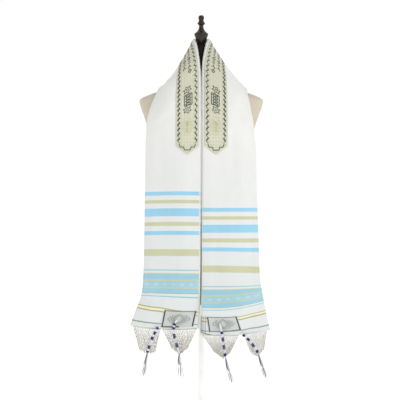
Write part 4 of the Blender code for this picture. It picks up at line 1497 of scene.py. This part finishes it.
    def _sprig(self) -> list[Stroke]:
        """Return the pale oval with a rosette and leaf sprigs below the stars."""
        middle = 81.0
        turns = [k * TURN / 28 for k in range(29)]
        strokes = [
            Stroke(tuple((rx * math.sin(a), middle + ry * math.cos(a)) for a in turns), width, 2)
            for rx, ry, width in ((14.5, 28, 1.2), (11.8, 24.8, 0.8))
        ]
        petal = ((1.2, 0.0), (4.4, 0.34), (8.2, 0.0), (4.4, -0.34), (1.2, 0.0))
        for k in range(8):
            a = k * TURN / 8
            leaf = [(r * math.cos(a + d), middle + 8 + r * math.sin(a + d)) for r, d in petal]
            strokes.append(Stroke(tuple(leaf), 1.1, 1))
        strokes.append(Stroke(((0, middle - 1), (0, middle - 21)), 1.3, 1))
        for k in range(4):
            y = middle - 18 + k * 4.6
            for side in (-1, 1):
                strokes.append(Stroke(((0, y), (side * 4, y + 3.2), (side * 7.5, y + 3.6)), 1.4, 1))
        return strokes


@dataclass
class CornerPatch:
    """A reinforcing patch on a corner that shows: silver-grey cloth, black tapes, a stitched medallion."""

    drape: Drape
    side: str
    flat: tuple[float, float] = (0.098, 0.049)

    def place(self, across: Any, up: Any, lift: Any = 0.0) -> np.ndarray:
        """Return points on the patch, across and up running from 0 at its inner and lower edges to 1."""
        u, v = self._spot(across, up)
        return self.drape.lifted(u, v, self.drape.front_lift(u, v) + PATCH_LIFT + lift)

    def _spot(self, across: Any, up: Any) -> tuple[np.ndarray, np.ndarray]:
        """Return the row and the place across the shawl of a place on the patch."""
        across, up = (np.asarray(x, float)[..., None] for x in (across, up))
        corners = np.array(PATCHES[self.side])
        lower = corners[0] + (corners[1] - corners[0]) * across
        upper = corners[2] + (corners[3] - corners[2]) * across
        spot = lower + (upper - lower) * up
        return spot[..., 0], spot[..., 1]

    def build(self) -> bpy.types.Object:
        """Cut the patch and lay it on the corner.

        Returns:
            The patch.
        """
        across, up = np.meshgrid(np.linspace(0, 1, 21), np.linspace(0, 1, 13))
        if self.side == "right":
            up = up[::-1]
        flat = np.stack((across * self.flat[0], up * self.flat[1]), axis=2)
        bm = grid_through(self.place(across, up), flat)
        bmesh.ops.reverse_faces(bm, faces=bm.faces)
        patch = add_piece(f"patch_{self.side}", bm, (SILVER,), 60.0)
        add_wall(patch, PATCH_WALL)
        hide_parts(f"corner_patch_{self.side}")
        return patch

    def surface(self, places: np.ndarray) -> tuple[np.ndarray, np.ndarray]:
        """Return points and normals at places in mm: across from the middle, up from the lower edge."""
        across = 0.5 + places[:, 0] * MM / self.flat[0]
        up = places[:, 1] * MM / self.flat[1]
        u, v = self._spot(across, up)
        return self.place(across, up, PATCH_WALL / 2), self.drape.directions(u, v)[2]

    def embroider(self) -> bpy.types.Object:
        """Sew on the tapes and stitch the medallion.

        Returns:
            The tapes and the stitches.
        """
        half, top = self.flat[0] / MM / 2, self.flat[1] / MM
        strokes = [Stroke(((x, 0.5), (x, top - 0.5)), 3.7, 0, 0.5) for x in (-half + 3.6, half - 3.6)]
        strokes.append(Stroke(((-half + 2, top - 1.4), (half - 2, top - 1.4)), 1.3, 0))
        bottom, bottom_width = (-half * 0.1, 3.4) if self.side == "left" else (-half + 2, 1.5)
        strokes.append(Stroke(((bottom, 1.6), (half - 2, 1.6)), bottom_width, 0, 0.5))
        y = top * 0.5
        for scale, width, finish in ((1.0, 1.3, 1), (0.72, 1.2, 2), (0.42, 1.5, 3)):
            rx, ry = 25 * scale, 15 * scale
            strokes.append(Stroke(((0, y - ry), (rx, y), (0, y + ry), (-rx, y), (0, y - ry)), width, finish))
        for k in range(38):
            a = (k + 0.5) * TURN / 38
            bulge = 1.0 / max(0.75, abs(math.cos(a)) + abs(math.sin(a)))
            near, far = 1.16 * bulge, 1.16 * bulge + 0.16 + 0.07 * (k % 3)
            start = (27 * near * math.cos(a), y + 16 * near * math.sin(a))
            end = (27 * far * math.cos(a), y + 16 * far * math.sin(a))
            dark = 1 if k % 3 == 0 else 2
            strokes.append(Stroke((start, end), 1.1, 3 if math.sin(a) > 0.7 else dark))
        for side in (-1, 1):
            for k in range(3):
                x = side * (7 + 4.5 * k)
                strokes.append(Stroke(((x, y - 4 + k), (x, y + 4 - k)), 1.3, 2))
        finishes = (BLACK_TAPE, DARK_THREAD, BLUE_THREAD, GOLD_THREAD)
        made = lay_strokes(f"patch_embroidery_{self.side}", strokes, self.surface, finishes)
        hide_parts(f"corner_patch_{self.side}")
        return made


@dataclass
class KnottedFringe:
    """A bunch of the fringe: yarns knotted into a net below the hem, with free ends."""

    drape: Drape
    bunch: Bunch
    spacing: float = 5.6 * MM
    net_rows: int = 6
    net_share: float = 0.80
    yarn: float = 0.62 * MM
    fibres: int = 60

    def _point(self, share: np.ndarray, t: np.ndarray, depth: np.ndarray) -> np.ndarray:
        """Return points of the bunch, share running from 0 to 1 along the hem and t from 0 there to 1."""
        bunch = self.bunch
        share, t, depth = np.broadcast_arrays(share, t, depth)
        v = bunch.first + share * (bunch.last - bunch.first)
        u = np.full(share.shape, float(bunch.row))
        root = self.drape.lifted(u, v, LAYER_STEP * 0.3)
        middle = (self.drape.lifted(bunch.row, bunch.first) + self.drape.lifted(bunch.row, bunch.last)) / 2
        off = np.abs(share * 2 - 1)
        length = (bunch.length - bunch.trim * off) * MM
        gather = (1 - bunch.keep) * (middle[0] - root[..., 0]) + bunch.lean * MM
        root[..., 0] += gather * t * length / (bunch.length * MM)
        root[..., 1] += depth
        root[..., 2] -= 1.0 * MM + (length - 1.0 * MM) * t
        return root

    def build(self) -> bpy.types.Object:
        """Knot the bunch.

        Returns:
            Its yarns and knots.
        """
        bunch = self.bunch
        rng = np.random.default_rng(len(bunch.name) * 7 + int(bunch.length))
        ends = self.drape.lifted(bunch.row, np.array((bunch.first, bunch.last)))
        count = round(float(np.linalg.norm(ends[1] - ends[0])) / self.spacing)
        levels = np.linspace(0.0, self.net_share, self.net_rows + 1) ** 0.92
        threads = []
        knots = []
        # The knots lie unevenly, so the net has no straight rows
        slips = rng.normal(0.0, 0.018, (count + 2, len(levels)))
        slips[:, 0] = 0.0
        for i in range(count + 1):
            for turn in (0, 1):
                for ply in (-1, 1):
                    shares, ts, depths = [], [], []
                    for k, t in enumerate(levels):
                        swing = ((k + turn) % 2 - 0.5) * 0.92
                        shares.append((i + swing) / count)
                        ts.append(t + slips[i + (swing > 0), k])
                        depths.append(ply * 0.5 * MM + (1 if turn else -1) * 0.6 * MM)
                    free = rng.uniform(0.86, 1.0)
                    for t in (0.35, 0.7, 1.0):
                        shares.append((i + swing + rng.uniform(-0.7, 0.7) * t) / count)
                        ts.append(levels[-1] + (free - levels[-1]) * t)
                        depths.append(depths[0] + rng.uniform(-3.0, 3.0) * MM * t)
                    marks = self._point(np.clip(shares, -0.02, 1.02), np.array(ts), np.array(depths))
                    line = smooth_line(marks, np.linspace(0, 1, len(marks) * 2 - 1))
                    line += rng.normal(0.0, 0.12 * MM, line.shape)
                    taper = np.where(np.linspace(0, 1, len(line)) > 0.97, 0.6, 1.0)
                    threads.append(Thread(line, self.yarn * taper))
            for k, t in enumerate(levels[1:], 1):
                spot = np.array(min(count, i + 0.5) / count)
                knots.append(self._point(spot, np.array(t + slips[i + 1, k]), np.array(0.0)))
        for _ in range(self.fibres):
            share, start = rng.uniform(0.03, 0.97), rng.uniform(0.0, 0.55)
            t = np.linspace(start, min(1.0, start + rng.uniform(0.25, 0.5)), 7)
            drift = np.cumsum(rng.normal(0.0, 0.012, 7))
            depth = rng.uniform(-2.5, 2.5) * MM + np.cumsum(rng.normal(0.0, 0.5 * MM, 7))
            threads.append(Thread(self._point(np.clip(share + drift, 0, 1), t, depth), 0.2 * MM))
        heading = np.linspace(0.0, 1.0, 40)
        threads.append(Thread(self._point(heading, np.zeros(40), np.zeros(40)), 1.1 * MM))
        piece = lay_threads(f"fringe_{bunch.name}_net", threads, (FRINGE_YARN,))
        self._tie(piece, knots)
        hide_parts(f"fringe_{bunch.name}")
        return piece

    def _tie(self, piece: bpy.types.Object, knots: Sequence[np.ndarray]) -> None:
        """Add the knots to the yarns.

        Args:
            piece: The yarns.
            knots: The middle of each knot.
        """
        bm = bmesh.new()
        bm.from_mesh(piece.data)
        for number, knot in enumerate(knots):
            made = bmesh.ops.create_icosphere(bm, subdivisions=1, radius=1.6 * MM)["verts"]
            for vert in made:
                vert.co.z *= 1.3 + 0.2 * (number % 3)
            bmesh.ops.translate(bm, vec=Vector(knot), verts=made)
        bm.to_mesh(piece.data)
        bm.free()
        piece.data.shade_smooth()


@dataclass
class CornerTassel:
    """A corner tassel: a wound and knotted stem with eight free cords."""

    drape: Drape
    tassel: Tassel
    stem: float = 2.0 * MM
    knot: float = 3.5 * MM
    pitch: float = 1.7 * MM
    cord: float = 0.85 * MM
    ply_turn: float = 6.5 * MM

    def _route(self) -> np.ndarray:
        """Return the stem's three marks."""
        u, v = self.tassel.root
        lift = float(self.drape.front_lift(u, v)) + 0.9 * MM
        lift += 1.45 * MM if self.tassel.on_patch else 0.0
        root = self.drape.lifted(u, v, lift + self.knot)
        marks = ((0, 0), self.tassel.bend, self.tassel.knot)
        return np.array([root + np.array((x * MM, 0.0, z * MM)) for x, z in marks])

    def build(self) -> bpy.types.Object:
        """Wind the stem and hang the cords.

        Returns:
            All the cords of the tassel.
        """
        route = self._route()
        threads = self._stem(route) + self._cords(route)
        piece = lay_threads(
            f"tassel_{self.tassel.name}_cords", threads, (WHITE_CORD, VIOLET_CORD, BLACK_CORD), 1
        )
        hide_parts(f"tassel_{self.tassel.name}")
        return piece

    def _stem(self, route: np.ndarray) -> list[Thread]:
        """Return the core, its windings and the loop through the cloth.

        Args:
            route: The stem's marks.

        Returns:
            Their threads.
        """
        shares = np.linspace(0.0, 1.0, 40)
        line = smooth_line(route, shares)
        length = float(np.linalg.norm(np.diff(line, axis=0), axis=1).sum())
        threads = [Thread(line, self.stem)]
        turns = length / self.pitch
        t = np.linspace(0.0, 1.0, int(turns * 9))
        path = smooth_line(route, t)
        run = unit(np.gradient(path, axis=0))
        side = unit(np.cross(run, np.array((0.0, 1.0, 0.0))))
        out = np.cross(side, run)
        bound = self.tassel.bound
        between = [(a + b) / 2 for a, b in zip(bound, bound[1:])]
        dark, white = (
            np.max([np.exp(-(((t - m) * length / (reach * MM)) ** 4)) for m in middles], axis=0)
            for middles, reach in ((bound, 5.0), (between, 3.6))
        )
        radius = self.stem + (self.knot - self.stem) * dark + (0.25 + 0.85 * white) * MM * (1 - dark)
        angle = (t * turns * TURN)[:, None]
        helix = path + (side * np.cos(angle) + out * np.sin(angle)) * radius[:, None]
        wound = dark > 0.5
        edges = np.flatnonzero(np.diff(wound.astype(int))) + 1
        for part in np.split(np.arange(len(t)), edges):
            if len(part) > 2:
                threads.append(Thread(helix[part], 0.95 * MM, 1 if wound[part[0]] else 0))
        u, v = self.tassel.root
        ring = np.linspace(0, TURN, 17)
        eye = self.drape.on_front(u, v, (2.3 if self.tassel.on_patch else 0.6) * MM)
        loop = eye + np.stack((2.6 * np.cos(ring), 0 * ring, 2.6 * np.sin(ring)), axis=1) * MM
        threads.append(Thread(loop, 0.7 * MM))
        return threads

    def _cords(self, route: np.ndarray) -> list[Thread]:
        """Return the eight free cords, each of two plies.

        Args:
            route: The stem's marks.

        Returns:
            Their threads.
        """
        tassel = self.tassel
        last = route[-1]
        fall = np.array((tassel.tips[0] - tassel.knot[0], 0.0, tassel.tips[1] - tassel.knot[1])) * MM
        drop = float(np.linalg.norm(fall))
        threads = []
        number = 0
        for depth in (-0.5, 0.5):
            for side in (-0.75, -0.25, 0.25, 0.75):
                start = last + np.array((side * self.stem, depth * self.stem, 0.0))
                reach = 1.0 - 0.05 * (number % 3)
                spread = np.array((side * tassel.spread * 0.62 * MM, depth * 5 * MM, 0.0))
                wave = np.array((1.6 * MM * math.sin(number * 2.4), 1.2 * MM * math.cos(number * 1.7), 0.0))
                marks = [
                    start,
                    start + fall * 0.35 * reach + spread * 0.3 + wave,
                    start + fall * 0.7 * reach + spread * 0.75 - wave * 0.6,
                    start + fall * reach + spread,
                ]
                t = np.linspace(0, 1, int(drop / self.ply_turn * 6))
                line = smooth_line(marks, t)
                angle = (t * drop / self.ply_turn * TURN)[:, None]
                twist = np.concatenate((np.cos(angle), np.sin(angle), 0 * angle), axis=1) * 0.5 * MM
                finish = 2 if number in (2, 5) else 0
                threads += [Thread(line + sign * twist, self.cord * 0.72, finish) for sign in (1, -1)]
                knotted = line[-1] + np.array(((0, 0, 0.8), (0, 0, -0.8))) * MM
                threads.append(Thread(knotted, 1.0 * MM, finish))
                number += 1
        return threads


@dataclass
class DressForm:
    """The limbless form: a linen-covered torso with its seams, and a turned cap and finial on the neck."""

    around: int = 96
    up: int = 150

    def _rings(self, heights: np.ndarray) -> np.ndarray:
        """Return the torso's rings at these heights, on smooth curves through the table."""
        table = np.array([ring[:] for ring in TORSO], float)
        places = np.interp(heights, table[:, 0], np.linspace(0, 1, len(table)))
        return smooth_line(table, places)

    def points(self, heights: np.ndarray, angles: np.ndarray, out: float = 0.0) -> np.ndarray:
        """Return points of the torso's surface.

        Args:
            heights: In mm.
            angles: From +X towards the back.
            out: How far outside the linen, in mm.

        Returns:
            One point for each pair.
        """
        rings = self._rings(heights)
        power = 2.0 / rings[:, 4]
        cos, sin = np.cos(angles), np.sin(angles)
        depth = np.where(sin > 0, rings[:, 3], rings[:, 2]) + out
        x = (rings[:, 1] + out) * np.sign(cos) * np.abs(cos) ** power
        y = depth * np.sign(sin) * np.abs(sin) ** power
        return np.stack((x, y, heights), axis=1) * MM

    def build(self) -> bpy.types.Object:
        """Loft the torso and close its ends.

        Returns:
            The linen-covered torso.
        """
        low, high = TORSO[0].height, TORSO[-1].height
        heights = low + (high - low) * (1 - (1 - np.linspace(0, 1, self.up)) ** 1.25)
        angles = np.linspace(0, TURN, self.around + 1)
        grid_h, grid_a = np.meshgrid(heights, angles, indexing="ij")
        table = self.points(grid_h.ravel(), grid_a.ravel()).reshape(self.up, self.around + 1, 3)
        flat = np.stack((grid_a * 0.14, grid_h * MM), axis=2)
        bm = grid_through(table, flat)
        bmesh.ops.remove_doubles(bm, verts=bm.verts, dist=0.01 * MM)
        ends = bmesh.ops.holes_fill(bm, edges=bm.edges, sides=0)["faces"]
        bmesh.ops.inset_individual(bm, faces=ends, thickness=4 * MM, depth=0.0)
        bmesh.ops.recalc_face_normals(bm, faces=bm.faces)
        torso = add_piece("linen_torso", bm, (LINEN,), 45.0)
        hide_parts("form_torso")
        return torso

    def sew(self) -> bpy.types.Object:
        """Sew the torso's seams and tapes.

        Returns:
            Their threads.
        """
        threads = []
        upright = np.linspace(337, 1012, 160)
        waist = np.clip((upright - 600) / 260, -1, 1)
        quarter = TURN / 4
        # Centre back and front, the shaped seams beside them, and the sides, as (angle, sway)
        places = (
            (quarter, 0.0),
            (-quarter, 0.0),
            (quarter - 0.62, 0.1),
            (quarter + 0.62, -0.1),
            (-quarter - 0.6, -0.12),
            (-quarter + 0.6, 0.12),
            (0.0, 0.0),
            (math.pi, 0.0),
        )
        for angle, sway in places:
            angles = angle + sway * waist**2
            for apart in (-1, 1):
                threads.append(Thread(self.points(upright, angles + apart * 0.006, 0.05), 0.35 * MM))
        turn = np.linspace(0, TURN, 121)
        for height in (341, 600, 1010, 1016):
            threads.append(Thread(self.points(np.full(121, float(height)), turn, 0.1), 0.55 * MM))
        seams = lay_threads("linen_seams", threads, (SEAM_THREAD,))
        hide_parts("form_torso")
        return seams


@dataclass
class TurnedPiece:
    """A piece turned about the upright axis, from a profile of (radius, height) points in mm, top first."""

    name: str
    node: str
    profile: Sequence[tuple[float, float]]
    finish: Finish
    slot: str
    rounded: bool = True
    steps: int = 64

    def build(self) -> bpy.types.Object:
        """Turn the profile.

        Returns:
            The turned piece.
        """
        profile = np.array(self.profile, float)
        if self.rounded:
            profile = smooth_line(profile, np.linspace(0, 1, (len(profile) - 1) * 4 + 1))
        ends = ((0.0, profile[0, 1]), *map(tuple, profile), (0.0, profile[-1, 1]))
        bm = bmesh.new()
        verts = [bm.verts.new((max(0.0, r) * MM, 0.0, z * MM)) for r, z in ends]
        edges = [bm.edges.new(pair) for pair in zip(verts, verts[1:])]
        bmesh.ops.spin(
            bm,
            geom=verts + edges,
            axis=(0, 0, 1),
            cent=(0, 0, 0),
            angle=TURN,
            steps=self.steps,
            use_merge=True,
        )
        bmesh.ops.remove_doubles(bm, verts=bm.verts, dist=0.005 * MM)
        if not self.rounded:
            rims = [e for e in bm.edges if len(e.link_faces) == 2 and e.calc_face_angle() > 0.9]
            bmesh.ops.bevel(
                bm, geom=rims, offset=0.5 * MM, affect="EDGES", segments=2, profile=0.5, material=-1
            )
        bmesh.ops.recalc_face_normals(bm, faces=bm.faces)
        piece = add_piece(self.name, bm, (self.finish,), 38.0)
        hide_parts(self.node)
        return piece


@dataclass
class Studio:
    """White paper, soft lights and the camera."""

    eye: tuple[float, float, float] = (-0.0037, -4.0, 0.641)
    lens: float = 120.8

    def build(self) -> None:
        """Set up the floor, the lights and the camera."""
        bm = bmesh.new()
        bmesh.ops.create_grid(bm, x_segments=8, y_segments=8, size=14.0)
        mesh = bpy.data.meshes.new("paper_floor")
        bm.to_mesh(mesh)
        bm.free()
        floor = bpy.data.objects.new("paper_floor", mesh)
        bpy.context.scene.collection.objects.link(floor)
        floor.location.z = -0.5 * MM
        mesh.materials.append(FLOOR.material())
        world = bpy.data.worlds.new("studio_world")
        world.use_nodes = True
        self._sky(world.node_tree)
        bpy.context.scene.world = world
        bpy.context.scene.view_settings.view_transform = "Standard"
        self._light("key_softbox", (1.9, -2.6, 2.4), 1.6, 26.0)
        self._light("fill_softbox", (-2.6, -2.2, 1.2), 1.6, 6.0)
        data = bpy.data.cameras.new("camera")
        data.lens = self.lens
        data.sensor_width = 36.0
        camera = bpy.data.objects.new("camera", data)
        camera.location = self.eye
        camera.rotation_euler = (math.pi / 2, 0.0, 0.0)
        bpy.context.scene.collection.objects.link(camera)
        bpy.context.scene.camera = camera

    def _sky(self, tree: bpy.types.NodeTree) -> None:
        """Make the studio's walls white behind the form, and greyer in front on the left and overhead.

        Args:
            tree: The world's node tree.
        """
        place = add_node(tree, "ShaderNodeTexCoord", {}).outputs["Generated"]
        x, y, z = add_node(tree, "ShaderNodeSeparateXYZ", {0: place}).outputs
        front = add_node(tree, "ShaderNodeMapRange", {0: y, 1: 0.0, 2: -0.7, 3: 0.0, 4: 1.0}).outputs[0]
        left = add_node(tree, "ShaderNodeMapRange", {0: x, 1: 1.0, 2: -1.0, 3: 0.0, 4: 0.45}).outputs[0]
        above = add_node(tree, "ShaderNodeMapRange", {0: z, 1: 0.15, 2: 1.0, 3: 1.02, 4: 0.72}).outputs[0]
        shade = add_node(tree, "ShaderNodeMath", {0: front, 1: left}, operation="MULTIPLY").outputs[0]
        strength = add_node(tree, "ShaderNodeMath", {0: above, 1: shade}, operation="SUBTRACT").outputs[0]
        backdrop = tree.nodes["Background"]
        backdrop.inputs[0].default_value = WHITE
        tree.links.new(strength, backdrop.inputs[1])

    def _light(self, name: str, place: tuple[float, float, float], size: float, power: float) -> None:
        """Add a soft light aimed at the chest.

        Args:
            name: The light's name.
            place: Where it stands.
            size: Its width, in metres.
            power: In watts.
        """
        data = bpy.data.lights.new(name, "AREA")
        data.size = size
        data.energy = power
        light = bpy.data.objects.new(name, data)
        light.location = place
        aim = Vector((0.0, 0.0, 0.65)) - Vector(place)
        light.rotation_euler = aim.to_track_quat("-Z", "Y").to_euler()
        bpy.context.scene.collection.objects.link(light)


def form_trees() -> list[tuple[BVHTree, float]]:
    """Return the search tree and clearance of each form under the cloth."""
    graph = bpy.context.evaluated_depsgraph_get()
    clearances = (
        ("form_torso", FORM_CLEARANCE),
        ("form_neck_cap", FORM_CLEARANCE),
        ("form_finial", FINIAL_CLEARANCE),
    )
    return [(BVHTree.FromObject(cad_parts[name], graph), gap) for name, gap in clearances]


def main() -> None:
    """Build the studio, the form and its stand, then the shawl and what is sewn, knotted and tied to it."""
    logging.basicConfig(level=logging.INFO, format="%(message)s")
    Studio().build()
    drape = Drape(form_trees())
    form = DressForm()
    form.build()
    form.sew()
    TurnedPiece("turned_neck_cap", "form_neck_cap", NECK_CAP, SHADE_DARKENED_WOOD, "turned_wood").build()
    TurnedPiece("turned_finial", "form_finial", FINIAL, WOOD, "turned_wood").build()
    TurnedPiece("painted_pole", "stand_pole", POLE, PAINT, "white_paint", False).build()
    TurnedPiece("painted_base", "stand_base", BASE, PAINT, "white_paint", False, 128).build()
    shawl = Shawl(drape)
    cloth = shawl.build()
    stitches = shawl.stitch_edges()
    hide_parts("shawl_cloth")
    neckband = Neckband(drape)
    band = neckband.build()
    neckband.embroider()
    for side in PATCHES:
        patch = CornerPatch(drape, side)
        sewn = patch.build()
        patch.embroider()
    hanging = [KnottedFringe(drape, bunch).build() for bunch in BUNCHES]
    hanging += [CornerTassel(drape, tassel).build() for tassel in TASSELS]


if __name__ == "__main__":
    main()
